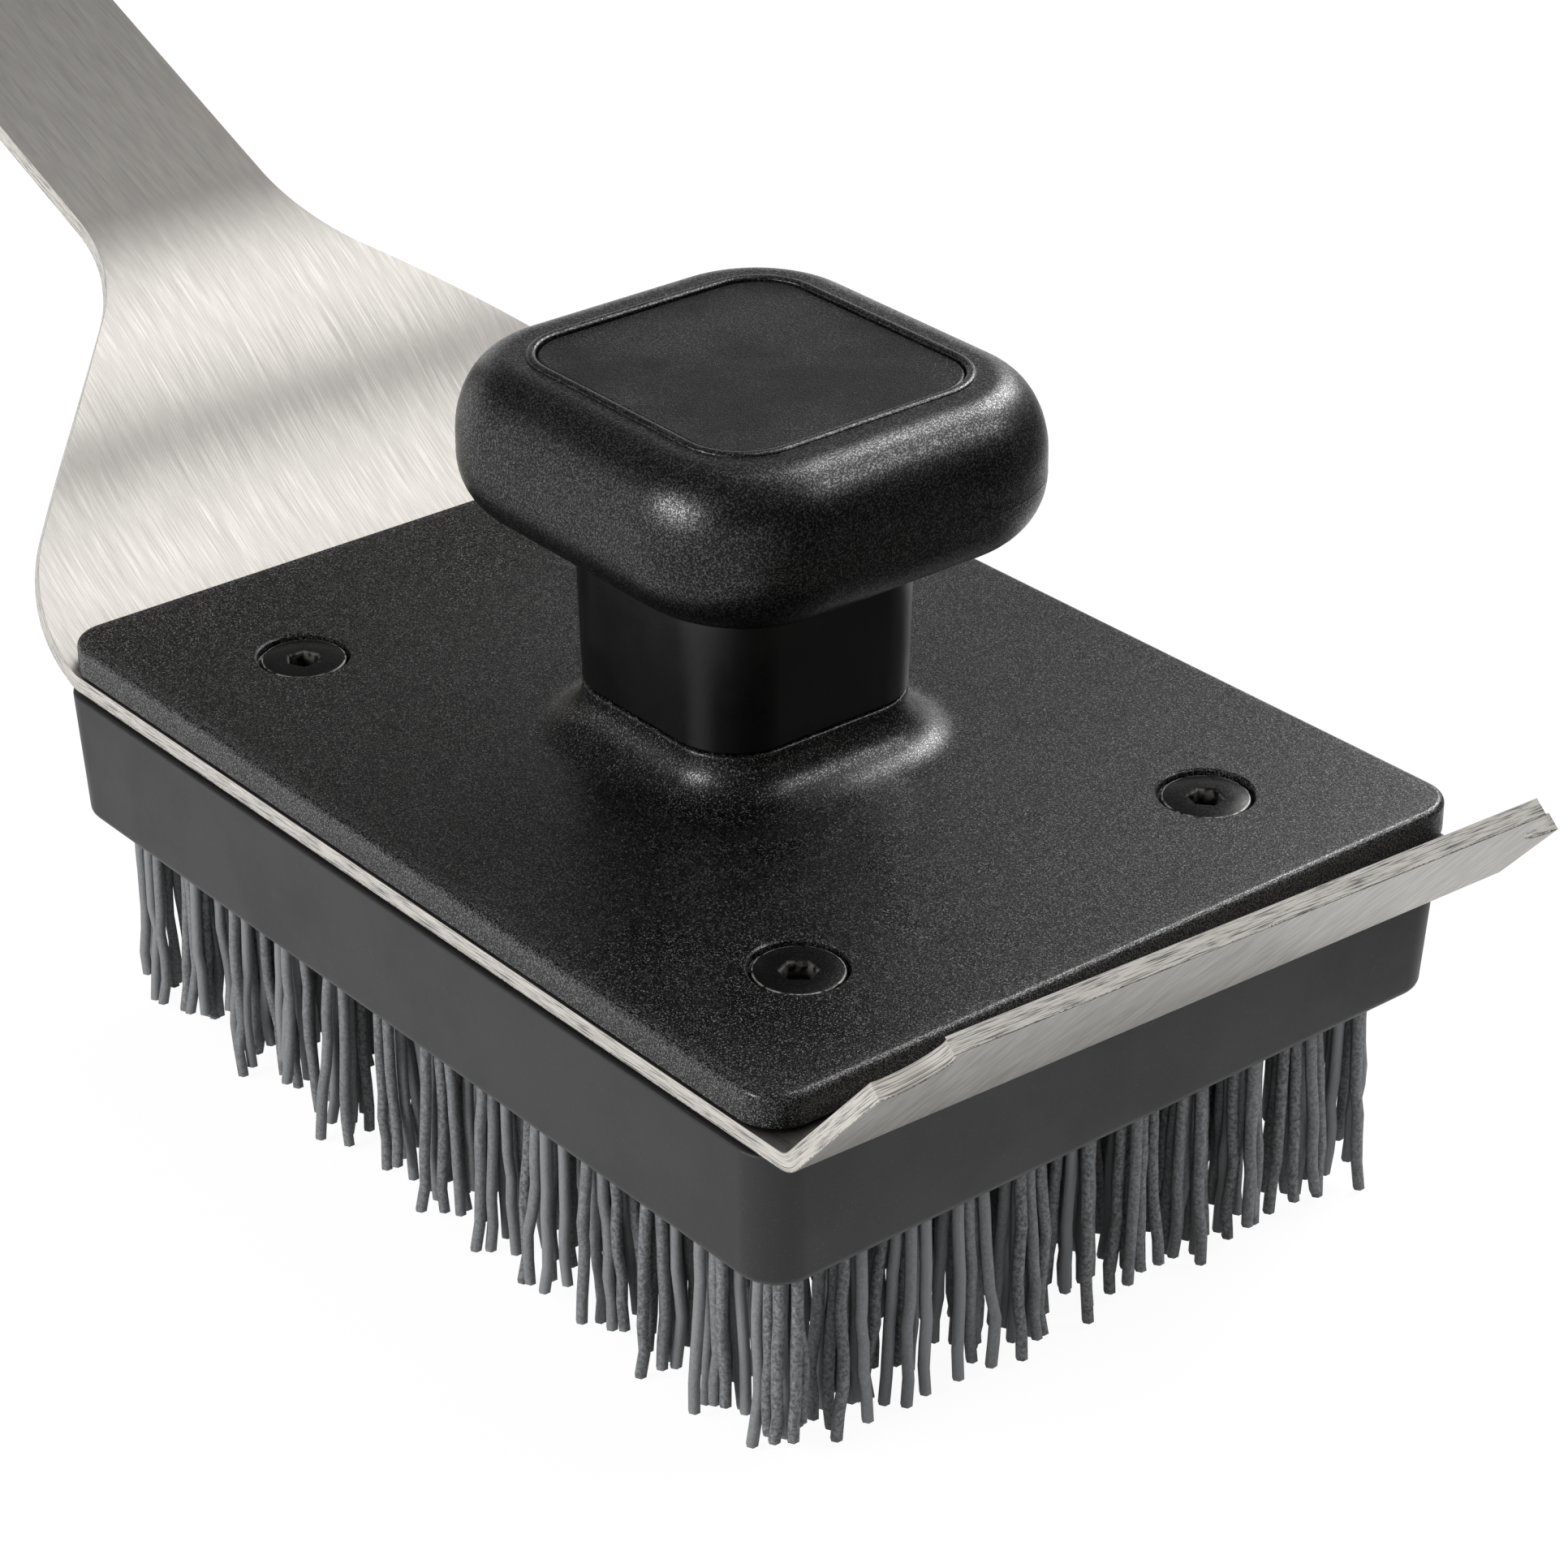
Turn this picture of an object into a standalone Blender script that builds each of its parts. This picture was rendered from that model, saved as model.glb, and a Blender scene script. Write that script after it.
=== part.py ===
"""Grill cleaning brush.

A bent steel plate is scraper, backbone and handle in one. A moulded cover with a push knob lies
on it, a block of nylon bristles hangs under it, and four countersunk screws clamp the stack.

Metres, +Z up. The brush stands on its bristle tips at z = 0 with the head centred on the origin.
The scraper lip points to -Y and the handle rises towards +Y.
"""

import math
import random

import bmesh
import bpy
from mathutils import Matrix, Vector

# Air left between pieces that touch
SEAT_GAP = 0.0003

# Head: outline shared by the cover, the plate and the brush block
HEAD_WIDTH = 0.1126
HEAD_LENGTH = 0.154
HEAD_CORNER = 0.0058

# Brush block and bristles
BLOCK_HEIGHT = 0.0192
BLOCK_DRAFT = 0.0008
BLOCK_EDGE = 0.0012
BLOCK_WALL = 0.0025
PAD_THICKNESS = 0.0040
PAD_SINK = 0.0005
BRISTLE_LENGTH = 0.0305
TUFT_INSET = 0.0060
TUFT_PITCH_X = 0.0096
TUFT_PITCH_Y = 0.0115
TUFT_RADIUS = 0.0019
STRAND_RADIUS = 0.0008
STRAND_ROOT = 0.0010
STRAND_SPLAY = 0.0012
STRAND_LEAN = 0.0005
STRAND_WAVE = 0.0003
STRAND_RAGGED = 0.0026
TRIMMED_SHARE = 0.6

# Steel plate
SHEET = 0.0024
LIP_MARGIN = 0.0038
LIP_BEND = 0.0020
LIP_ANGLE = math.radians(49.2)
LIP_HEIGHT = 0.0277
LIP_SKEW = math.radians(2.1)
EDGE_SKEW = math.radians(0.4)
NOTCH_RADIUS = 0.0052
NOTCH_INSET = 0.0020
NOTCH_DROP = 0.0040
SCOOP_RADIUS = 0.0125
KINK_INSET = 0.0038
KINK_BEND = 0.0035
KINK_ANGLE = math.radians(24.0)
RISE_BEND = 0.0905
RISE_ANGLE = math.radians(42.6)
RISE_LENGTH = 0.0028
HANDLE_BEND = 0.1046
HANDLE_ANGLE = math.radians(22.2)
HANDLE_WIDTH = 0.0321
HANDLE_LENGTH = 0.2320
HANDLE_END = 0.0100
FLARE_START = 0.0146
FLARE_ANGLE = math.radians(40.9)
FLARE_SHOULDER = 0.0337
FLARE_NECK = 0.0288
HANG_HOLE_RADIUS = 0.0050
HANG_HOLE_INSET = 0.0110

# Cover
COVER_HEIGHT = 0.0047
COVER_EDGE = 0.0010
BOSS_HEIGHT = 0.0066
BOSS_SPREAD = 0.0070

# Push knob
KNOB_Y = -0.0042
STEM_SHIFT = 0.0013
STEM_WIDTH = 0.0357
STEM_DRAFT = 0.0006
STEM_CORNER = 0.0090
STEM_FILLET = 0.0020
KNOB_WIDTH = 0.0624
KNOB_LENGTH = 0.0663
KNOB_CORNER = 0.0180
KNOB_THICKNESS = 0.0218
KNOB_REACH = 0.0522
KNOB_SHOULDER_RUN = 0.0074
KNOB_SHOULDER_DROP = 0.0104
KNOB_UNDER_ROUND = 0.0087
TENON_WIDTH = 0.0200
TENON_CORNER = 0.0030
TENON_LENGTH = 0.0040
CAP_WIDTH = 0.0416
CAP_LENGTH = 0.0446
CAP_CORNER = 0.0076
CAP_THICKNESS = 0.0020
CAP_SINK = 0.0005
CAP_EDGE = 0.0005

# Countersunk cover screws and their threaded inserts
SCREW_SIDE_INSET = 0.0224
SCREW_FRONT_INSET = 0.0219
SCREW_REAR_INSET = 0.0262
SCREW_RADIUS = 0.0030
SCREW_HEAD_RADIUS = 0.0058
SCREW_HEAD_RIM = 0.0004
SCREW_SOCKET = 0.0040
SCREW_SOCKET_DEPTH = 0.0022
SCREW_SINK = 0.0005
SCREW_GRIP = 0.0070
INSERT_RADIUS = 0.0044
INSERT_LENGTH = 0.0090
INSERT_GROOVE = 0.0005

# Knob bolt, its washer and the insert in the knob
BOLT_RADIUS = 0.0040
BOLT_HEAD_WIDTH = 0.0130
BOLT_HEAD_HEIGHT = 0.0053
BOLT_GRIP = 0.0120
WASHER_RADIUS = 0.0080
WASHER_THICKNESS = 0.0016
KNOB_INSERT_RADIUS = 0.0065
KNOB_INSERT_LENGTH = 0.0140

# Handle grip
GRIP_LENGTH = 0.1250
GRIP_TAIL = 0.0260
GRIP_WIDTH = 0.0345
GRIP_THICKNESS = 0.0090
RIVET_SPACING = 0.0420
RIVET_RADIUS = 0.0025
RIVET_HEAD_RADIUS = 0.0055
RIVET_HEAD = 0.0016
RIVET_DOME = 0.0004

# Facet counts
CORNER_STEPS = 8
RING_POINTS = 4 * (CORNER_STEPS + 1)
TURNED_STEPS = 18
FILLET_STEPS = 5
BEND_STEPS = 7
SHEET_COLUMNS = 10
GRIP_STATIONS = 14
GRIP_POINTS = 12
STRAND_SIDES = 3

# Levels of the stack, from the bristle tips up
Z_BLOCK = BRISTLE_LENGTH
Z_BLOCK_TOP = Z_BLOCK + BLOCK_HEIGHT
Z_SHEET = Z_BLOCK_TOP + SEAT_GAP
Z_SHEET_TOP = Z_SHEET + SHEET
Z_COVER = Z_SHEET_TOP + SEAT_GAP
Z_COVER_TOP = Z_COVER + COVER_HEIGHT
Z_BOSS_TOP = Z_COVER_TOP + BOSS_HEIGHT
Z_STEM = Z_BOSS_TOP + SEAT_GAP
Z_TENON = Z_STEM - TENON_LENGTH
Z_KNOB_TOP = Z_COVER_TOP + KNOB_REACH
Z_KNOB_UNDER = Z_KNOB_TOP - KNOB_THICKNESS
Z_PAD_FACE = Z_BLOCK + PAD_SINK
Z_PAD_BACK = Z_PAD_FACE + PAD_THICKNESS
Z_WASHER = Z_SHEET - SEAT_GAP - WASHER_THICKNESS
Z_BOLT_SEAT = Z_WASHER - SEAT_GAP
Z_BOLT_HEAD = Z_BOLT_SEAT - BOLT_HEAD_HEIGHT

# The stem's place under the knob's head, and its width where it meets the head
STEM_Y = KNOB_Y + STEM_SHIFT
STEM_TOP_WIDTH = STEM_WIDTH + 2 * STEM_DRAFT

# Places along the sheet, measured on its upper face
FOLD_Y = -HEAD_LENGTH / 2 - LIP_MARGIN
LIP_ARC = LIP_BEND * LIP_ANGLE
FRONT_EDGE_Y = FOLD_Y - (LIP_ARC + LIP_HEIGHT) / math.cos(LIP_SKEW)
RISE_Y = HEAD_LENGTH / 2 - KINK_INSET
# Each bend behind the head: its length along the sheet, and its slope at the start and the end
BENDS = (
    (KINK_BEND * KINK_ANGLE, 0.0, KINK_ANGLE),
    (RISE_BEND * (RISE_ANGLE - KINK_ANGLE), KINK_ANGLE, RISE_ANGLE),
    (RISE_LENGTH, RISE_ANGLE, RISE_ANGLE),
    (HANDLE_BEND * (RISE_ANGLE - HANDLE_ANGLE), RISE_ANGLE, HANDLE_ANGLE),
)
HANDLE_RUN = sum(length for length, _, _ in BENDS)
SHEET_RUN = HANDLE_RUN + HANDLE_LENGTH

SCREW_X = HEAD_WIDTH / 2 - SCREW_SIDE_INSET
SCREW_FRONT = HEAD_LENGTH / 2 - SCREW_FRONT_INSET
SCREW_REAR = HEAD_LENGTH / 2 - SCREW_REAR_INSET
SCREW_PLACES = {
    "front_left": (-SCREW_X, -SCREW_FRONT),
    "front_right": (SCREW_X, -SCREW_FRONT),
    "rear_left": (-SCREW_X, SCREW_REAR),
    "rear_right": (SCREW_X, SCREW_REAR),
}
GRIP_CENTRE = HANDLE_LENGTH - GRIP_TAIL - GRIP_LENGTH / 2
RIVET_PLACES = {
    "front": GRIP_CENTRE - RIVET_SPACING,
    "middle": GRIP_CENTRE,
    "rear": GRIP_CENTRE + RIVET_SPACING,
}


def clear_scene():
    """Start from an empty scene."""
    for obj in list(bpy.data.objects):
        bpy.data.objects.remove(obj, do_unlink=True)


def make_collection(name):
    """Add a collection to the scene."""
    collection = bpy.data.collections.new(name)
    bpy.context.scene.collection.children.link(collection)
    return collection


def finish(name, color, roughness, metallic):
    """One plain surface finish."""
    material = bpy.data.materials.new(name)
    material.use_nodes = True
    shader = material.node_tree.nodes["Principled BSDF"]
    shader.inputs["Base Color"].default_value = (*color, 1.0)
    shader.inputs["Roughness"].default_value = roughness
    shader.inputs["Metallic"].default_value = metallic
    return material


def add_part(name, mesh, look, parent=None):
    """Put a mesh in the brush's collection as a named sub-part."""
    mesh.materials.append(finish(name, *look))
    mesh.shade_smooth()
    mesh.set_sharp_from_angle(angle=math.radians(35))
    obj = bpy.data.objects.new(name, mesh)
    obj.parent = parent
    PARTS.objects.link(obj)
    return obj


def cut(obj, mesh, parent=None):
    """Take a cutter's shape out of a sub-part."""
    cutter = bpy.data.objects.new(f"{obj.name}_cutter", mesh)
    cutter.parent = parent
    cutter.hide_render = True
    cutter.display_type = "WIRE"
    CUTTERS.objects.link(cutter)
    modifier = obj.modifiers.new("cut", "BOOLEAN")
    modifier.operation = "DIFFERENCE"
    modifier.object = cutter


def closed_mesh(bm, name):
    """Turn a bmesh into a mesh whose faces point outwards."""
    bmesh.ops.recalc_face_normals(bm, faces=bm.faces)
    mesh = bpy.data.meshes.new(name)
    bm.to_mesh(mesh)
    bm.free()
    return mesh


def add_loft(bm, rings):
    """Skin a row of rings of equal count, with a flat cap at each end."""
    rows = [[bm.verts.new(point) for point in ring] for ring in rings]
    count = len(rows[0])
    for lower, upper in zip(rows, rows[1:]):
        for i in range(count):
            j = (i + 1) % count
            bm.faces.new((lower[i], lower[j], upper[j], upper[i]))
    bm.faces.new(reversed(rows[0]))
    bm.faces.new(rows[-1])


def loft(name, rings):
    """A closed mesh skinned over rings."""
    bm = bmesh.new()
    add_loft(bm, rings)
    return closed_mesh(bm, name)


def box_ring(width, length, corner, z, y=0.0):
    """A rounded rectangle, counter-clockwise seen from above."""
    points = []
    for quarter, (sx, sy) in enumerate(((1, 1), (-1, 1), (-1, -1), (1, -1))):
        for step in range(CORNER_STEPS + 1):
            angle = math.pi / 2 * (quarter + step / CORNER_STEPS)
            px = sx * (width / 2 - corner) + corner * math.cos(angle)
            py = sy * (length / 2 - corner) + corner * math.sin(angle)
            points.append((px, y + py, z))
    return points


def round_ring(radius, z, y=0.0):
    """A circle whose points pair with those of a rounded rectangle."""
    points = []
    for step in range(RING_POINTS):
        angle = math.tau * (step + 0.5) / RING_POINTS
        points.append((radius * math.cos(angle), y + radius * math.sin(angle), z))
    return points


def hexagon_ring(width, z, y=0.0):
    """A hexagon of the given width across flats, with as many points as the other rings."""
    points = []
    side = RING_POINTS // 6
    corner_radius = width / math.sqrt(3)
    corners = [Vector((math.cos(k * math.pi / 3), math.sin(k * math.pi / 3))) for k in range(7)]
    for k in range(6):
        for step in range(side):
            point = corners[k].lerp(corners[k + 1], step / side) * corner_radius
            points.append((point.x, y + point.y, z))
    return points


def quarter_turn(steps=FILLET_STEPS):
    """Sine and cosine pairs along a quarter circle, ends included."""
    angles = [math.pi / 2 * step / steps for step in range(steps + 1)]
    return [(math.sin(angle), math.cos(angle)) for angle in angles]


def turned(name, profile, is_ring, look, parent=None, place=(0, 0, 0)):
    """A turned piece: a profile of radius and height, listed from top to bottom."""
    mesh = bpy.data.meshes.new(name)
    edges = [(i, i + 1) for i in range(len(profile) - 1)]
    if is_ring:
        edges.append((len(profile) - 1, 0))
    mesh.from_pydata([(radius, 0, z) for radius, z in profile], edges, [])
    obj = add_part(name, mesh, look, parent)
    obj.location = place
    screw = obj.modifiers.new("turn", "SCREW")
    screw.axis = "Z"
    screw.steps = TURNED_STEPS
    screw.render_steps = TURNED_STEPS
    screw.use_merge_vertices = True
    screw.merge_threshold = 0.00001
    screw.use_smooth_shade = True
    return obj


def add_prism(bm, radius, low, high, place, segments=TURNED_STEPS):
    """A straight cylinder or prism between two heights."""
    middle = Matrix.Translation((place[0], place[1], (low + high) / 2))
    bmesh.ops.create_cone(
        bm, cap_ends=True, segments=segments, radius1=radius, radius2=radius,
        depth=high - low, matrix=middle,
    )


def add_stepped(bm, steps, x, y):
    """A round body whose radius changes with height, given as radius and height pairs."""
    angles = [math.tau * step / TURNED_STEPS for step in range(TURNED_STEPS)]
    rings = []
    for radius, z in steps:
        rings.append([(x + radius * math.cos(a), y + radius * math.sin(a), z) for a in angles])
    add_loft(bm, rings)


# Steel plate

def past_fold(x, y):
    """How far a point of the flat blank lies beyond the lip's fold line."""
    return -math.sin(LIP_SKEW) * x - math.cos(LIP_SKEW) * (y - FOLD_Y)


def lip_row_y(x, distance):
    """The blank's y at a given distance beyond the fold line."""
    return FOLD_Y - (distance + math.sin(LIP_SKEW) * x) / math.cos(LIP_SKEW)


def front_edge_y(x):
    """The blank's front edge, which is not quite square to its sides."""
    return FRONT_EDGE_Y + math.tan(EDGE_SKEW) * x


def lip_bend(distance):
    """Forward and upward travel along the lip's bend."""
    angle = min(distance / LIP_BEND, LIP_ANGLE)
    straight = max(distance - LIP_ARC, 0.0)
    forward = LIP_BEND * math.sin(angle) + straight * math.cos(angle)
    upward = LIP_BEND * (1 - math.cos(angle)) + straight * math.sin(angle)
    return forward, upward


def handle_bend(run):
    """Backward and upward travel along the bends that lead into the handle."""
    back = up = 0.0
    for length, start, end in BENDS:
        part = min(run, length)
        half_turn = (end - start) / 2 * part / length
        chord = part * (math.sin(half_turn) / half_turn if half_turn else 1.0)
        back += chord * math.cos(start + half_turn)
        up += chord * math.sin(start + half_turn)
        run -= part
    return back + run * math.cos(HANDLE_ANGLE), up + run * math.sin(HANDLE_ANGLE)


def bent(x, y):
    """Where a point of the flat blank lies once the plate is bent, on its upper face."""
    distance = past_fold(x, y)
    if distance > 0:
        forward, upward = lip_bend(distance)
        slide = distance - forward
        x += math.sin(LIP_SKEW) * slide
        y += math.cos(LIP_SKEW) * slide
        return Vector((x, y, Z_SHEET_TOP + upward))
    if y > RISE_Y:
        back, up = handle_bend(y - RISE_Y)
        return Vector((x, RISE_Y + back, Z_SHEET_TOP + up))
    return Vector((x, y, Z_SHEET_TOP))


def flare_marks():
    """Runs where the flare's shoulder and neck arcs begin and end."""
    half_turn = math.tan(FLARE_ANGLE / 2)
    end = FLARE_START + (HEAD_WIDTH - HANDLE_WIDTH) / 2 / math.tan(FLARE_ANGLE)
    shoulder = FLARE_SHOULDER * half_turn
    neck = FLARE_NECK * half_turn
    return (
        FLARE_START - shoulder,
        FLARE_START + shoulder * math.cos(FLARE_ANGLE),
        end - neck * math.cos(FLARE_ANGLE),
        end + neck,
    )


def blank_half_width(run):
    """Half the blank's width at a run behind the head."""
    shoulder_start, shoulder_end, neck_start, neck_end = flare_marks()
    if run > SHEET_RUN - HANDLE_END:
        over = run - (SHEET_RUN - HANDLE_END)
        return HANDLE_WIDTH / 2 - HANDLE_END + math.sqrt(max(HANDLE_END**2 - over**2, 0.0))
    if run > neck_end:
        return HANDLE_WIDTH / 2
    if run > neck_start:
        return HANDLE_WIDTH / 2 + FLARE_NECK - math.sqrt(FLARE_NECK**2 - (neck_end - run) ** 2)
    if run > shoulder_end:
        return HEAD_WIDTH / 2 - (run - FLARE_START) * math.tan(FLARE_ANGLE)
    if run > shoulder_start:
        drop = FLARE_SHOULDER - math.sqrt(FLARE_SHOULDER**2 - (run - shoulder_start) ** 2)
        return HEAD_WIDTH / 2 - drop
    return HEAD_WIDTH / 2


def spaced(start, end, steps):
    """Evenly spaced values, ends included."""
    return [start + (end - start) * step / steps for step in range(steps + 1)]


def handle_runs():
    """The runs at which the blank needs a row of points, from the head to the handle's end."""
    shoulder_start, shoulder_end, neck_start, neck_end = flare_marks()
    runs = []
    start = 0.0
    for length, _, _ in BENDS:
        runs += spaced(start, start + length, BEND_STEPS)
        start += length
    runs += spaced(shoulder_start, shoulder_end, FILLET_STEPS + 2)
    runs += spaced(neck_start, neck_end, FILLET_STEPS)
    runs += [SHEET_RUN - HANDLE_END * (1 - sine) for sine, _ in quarter_turn()]
    least_step = SHEET / 4
    kept = []
    for run in sorted(runs):
        if not kept or run - kept[-1] > least_step:
            kept.append(run)
    return kept


def steel_plate():
    """One sheet: scraper lip, flat under the cover, flare, neck and handle."""
    columns = [2 * step / SHEET_COLUMNS - 1 for step in range(SHEET_COLUMNS + 1)]
    half = HEAD_WIDTH / 2
    rows = [[(half * u, front_edge_y(half * u)) for u in columns]]
    for distance in reversed(spaced(0.0, LIP_ARC, BEND_STEPS)):
        rows.append([(half * u, lip_row_y(half * u, distance)) for u in columns])
    for run in handle_runs():
        rows.append([(blank_half_width(run) * u, RISE_Y + run) for u in columns])
    bm = bmesh.new()
    grid = [[bm.verts.new(bent(x, y)) for x, y in row] for row in rows]
    for near, far in zip(grid, grid[1:]):
        for i in range(SHEET_COLUMNS):
            bm.faces.new((near[i], near[i + 1], far[i + 1], far[i]))
    mesh = bpy.data.meshes.new("steel_plate")
    bm.to_mesh(mesh)
    bm.free()
    plate = add_part("steel_plate", mesh, ((0.60, 0.58, 0.55), 0.32, 1.0))
    solidify = plate.modifiers.new("sheet", "SOLIDIFY")
    solidify.thickness = SHEET
    solidify.offset = -1.0
    solidify.use_even_offset = True
    cut(plate, head_holes())
    cut(plate, handle_holes(), HANDLE_AXIS)
    cut(plate, scoops())
    return plate


def head_holes():
    """Clearance holes in the plate for the cover screws and the knob bolt."""
    bm = bmesh.new()
    low = Z_SHEET - SHEET
    high = Z_SHEET_TOP + SHEET
    for place in SCREW_PLACES.values():
        add_prism(bm, SCREW_RADIUS + SEAT_GAP, low, high, place)
    add_prism(bm, BOLT_RADIUS + SEAT_GAP, low, high, (0, STEM_Y))
    return closed_mesh(bm, "head_holes")


def handle_holes():
    """Rivet holes and the hanging hole, in the handle's own axes."""
    bm = bmesh.new()
    for place in RIVET_PLACES.values():
        add_prism(bm, RIVET_RADIUS + SEAT_GAP, -2 * SHEET, SHEET, (0, place))
    add_prism(bm, HANG_HOLE_RADIUS, -2 * SHEET, SHEET, (0, HANDLE_LENGTH - HANG_HOLE_INSET))
    return closed_mesh(bm, "handle_holes")


def scoops():
    """A small round notch at the lip's left end and a wide one at its right, open to the corners."""
    bm = bmesh.new()
    along = Vector((math.cos(LIP_SKEW), -math.sin(LIP_SKEW), 0))
    foot = bent(0, lip_row_y(0, LIP_ARC))
    up_lip = (bent(0, FRONT_EDGE_Y) - foot).normalized()
    through = along.cross(up_lip)
    for side, radius, inset, drop in ((-1, NOTCH_RADIUS, NOTCH_INSET, NOTCH_DROP), (1, SCOOP_RADIUS, 0, 0)):
        edge = side * HEAD_WIDTH / 2
        centre = bent(edge - side * inset, front_edge_y(edge) + drop)
        corner = bent(edge, front_edge_y(edge)) + (along * side + up_lip) * radius
        points = [corner]
        for step in range(2 * TURNED_STEPS):
            angle = math.pi * step / TURNED_STEPS
            points.append(centre + radius * (along * math.cos(angle) + up_lip * math.sin(angle)))
        verts = []
        for depth in (-2 * SHEET, 2 * SHEET):
            verts += [bm.verts.new(point + through * depth) for point in points]
        hull = bmesh.ops.convex_hull(bm, input=verts)
        spare = [item for item in hull["geom_interior"] if isinstance(item, bmesh.types.BMVert)]
        bmesh.ops.delete(bm, geom=spare, context="VERTS")
    return closed_mesh(bm, "scoops")


# Cover, knob and cap

def cover_plate():
    """Flat moulded cover whose boss sweeps up to the knob's stem."""
    rings = [box_ring(HEAD_WIDTH, HEAD_LENGTH, HEAD_CORNER, Z_COVER)]
    for sine, cosine in quarter_turn():
        inset = COVER_EDGE * (1 - cosine)
        z = Z_COVER_TOP - COVER_EDGE * (1 - sine)
        rings.append(box_ring(HEAD_WIDTH - 2 * inset, HEAD_LENGTH - 2 * inset, HEAD_CORNER - inset, z))
    for sine, cosine in quarter_turn():
        spread = BOSS_SPREAD * (1 - sine)
        z = Z_COVER_TOP + BOSS_HEIGHT * (1 - cosine)
        width = STEM_WIDTH + 2 * spread
        rings.append(box_ring(width, width, STEM_CORNER + spread, z, STEM_Y))
    pocket = TENON_WIDTH + 2 * SEAT_GAP
    for z in (Z_BOSS_TOP, Z_TENON - SEAT_GAP):
        rings.append(box_ring(pocket, pocket, TENON_CORNER + SEAT_GAP, z, STEM_Y))
    cover = add_part("cover_plate", loft("cover_plate", rings), ((0.030, 0.030, 0.031), 0.55, 0.0))
    cut(cover, cover_holes())
    cut(cover, rear_bevel())
    return cover


def rear_bevel():
    """Wedge that bevels the cover's lower rear edge, clear of the sheet's first bend."""
    run = 1.25 * KINK_INSET
    slope = bent(0, RISE_Y + run) - bent(0, RISE_Y)
    lift = Vector((0, -slope.z, slope.y)).normalized() * SEAT_GAP
    near = bent(0, RISE_Y) + lift - slope
    far = bent(0, RISE_Y) + lift + slope * 2
    bm = bmesh.new()
    verts = []
    for x in (-HEAD_WIDTH, HEAD_WIDTH):
        for y, z in ((near.y, near.z), (far.y, far.z), (far.y, near.z)):
            verts.append(bm.verts.new((x, y, z)))
    bmesh.ops.convex_hull(bm, input=verts)
    return closed_mesh(bm, "rear_bevel")


def cover_holes():
    """Countersunk screw holes with a shallow round recess, and the bolt hole under the boss."""
    bm = bmesh.new()
    recess = SCREW_HEAD_RADIUS + 2 * SEAT_GAP
    hole = SCREW_RADIUS + SEAT_GAP
    rim = Z_COVER_TOP - SCREW_SINK - SCREW_HEAD_RIM - SEAT_GAP
    cone = recess - hole
    for x, y in SCREW_PLACES.values():
        steps = ((hole, Z_COVER - SHEET), (hole, rim - cone), (recess, rim), (recess, Z_COVER_TOP + SHEET))
        add_stepped(bm, steps, x, y)
    add_prism(bm, BOLT_RADIUS + SEAT_GAP, Z_COVER - SHEET, Z_BOSS_TOP, (0, STEM_Y))
    return closed_mesh(bm, "cover_holes")


def knob():
    """Push knob: tenon, rounded square stem and a pillow-shaped head with a recess for its cap."""
    bore = KNOB_INSERT_RADIUS + SEAT_GAP
    rings = [
        round_ring(bore, Z_TENON + KNOB_INSERT_LENGTH + SEAT_GAP, STEM_Y),
        round_ring(bore, Z_TENON, STEM_Y),
        box_ring(TENON_WIDTH, TENON_WIDTH, TENON_CORNER, Z_TENON, STEM_Y),
        box_ring(TENON_WIDTH, TENON_WIDTH, TENON_CORNER, Z_STEM, STEM_Y),
        box_ring(STEM_WIDTH, STEM_WIDTH, STEM_CORNER, Z_STEM, STEM_Y),
    ]
    for sine, cosine in quarter_turn(3):
        spread = STEM_FILLET * (1 - cosine)
        z = Z_KNOB_UNDER - STEM_FILLET * (1 - sine)
        width = STEM_TOP_WIDTH + 2 * spread
        rings.append(box_ring(width, width, STEM_CORNER + spread, z, STEM_Y))
    for sine, cosine in quarter_turn():
        inset = KNOB_UNDER_ROUND * (1 - sine)
        rings.append(knob_ring(inset, Z_KNOB_UNDER + KNOB_UNDER_ROUND * (1 - cosine)))
    for sine, cosine in quarter_turn(FILLET_STEPS + 2):
        inset = KNOB_SHOULDER_RUN * (1 - cosine)
        rings.append(knob_ring(inset, Z_KNOB_TOP - KNOB_SHOULDER_DROP * (1 - sine)))
    for z in (Z_KNOB_TOP, Z_KNOB_TOP - CAP_SINK - CAP_THICKNESS - SEAT_GAP):
        rings.append(cap_ring(-SEAT_GAP, z))
    return add_part("knob", loft("knob", rings), ((0.026, 0.026, 0.027), 0.50, 0.0))


def knob_ring(inset, z):
    """A level of the knob's head, drawn in from its widest outline."""
    return box_ring(KNOB_WIDTH - 2 * inset, KNOB_LENGTH - 2 * inset, KNOB_CORNER - inset, z, KNOB_Y)


def cap_ring(inset, z):
    """A level of the knob's cap, drawn in from its outline."""
    return box_ring(CAP_WIDTH - 2 * inset, CAP_LENGTH - 2 * inset, CAP_CORNER - inset, z, KNOB_Y)


def knob_cap():
    """Inset panel that closes the knob's top."""
    top = Z_KNOB_TOP - CAP_SINK
    rings = [
        cap_ring(0.0, top - CAP_THICKNESS),
        cap_ring(0.0, top - CAP_EDGE),
        cap_ring(CAP_EDGE, top),
    ]
    return add_part("knob_cap", loft("knob_cap", rings), ((0.028, 0.028, 0.029), 0.60, 0.0))


# Brush block and bristles

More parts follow.
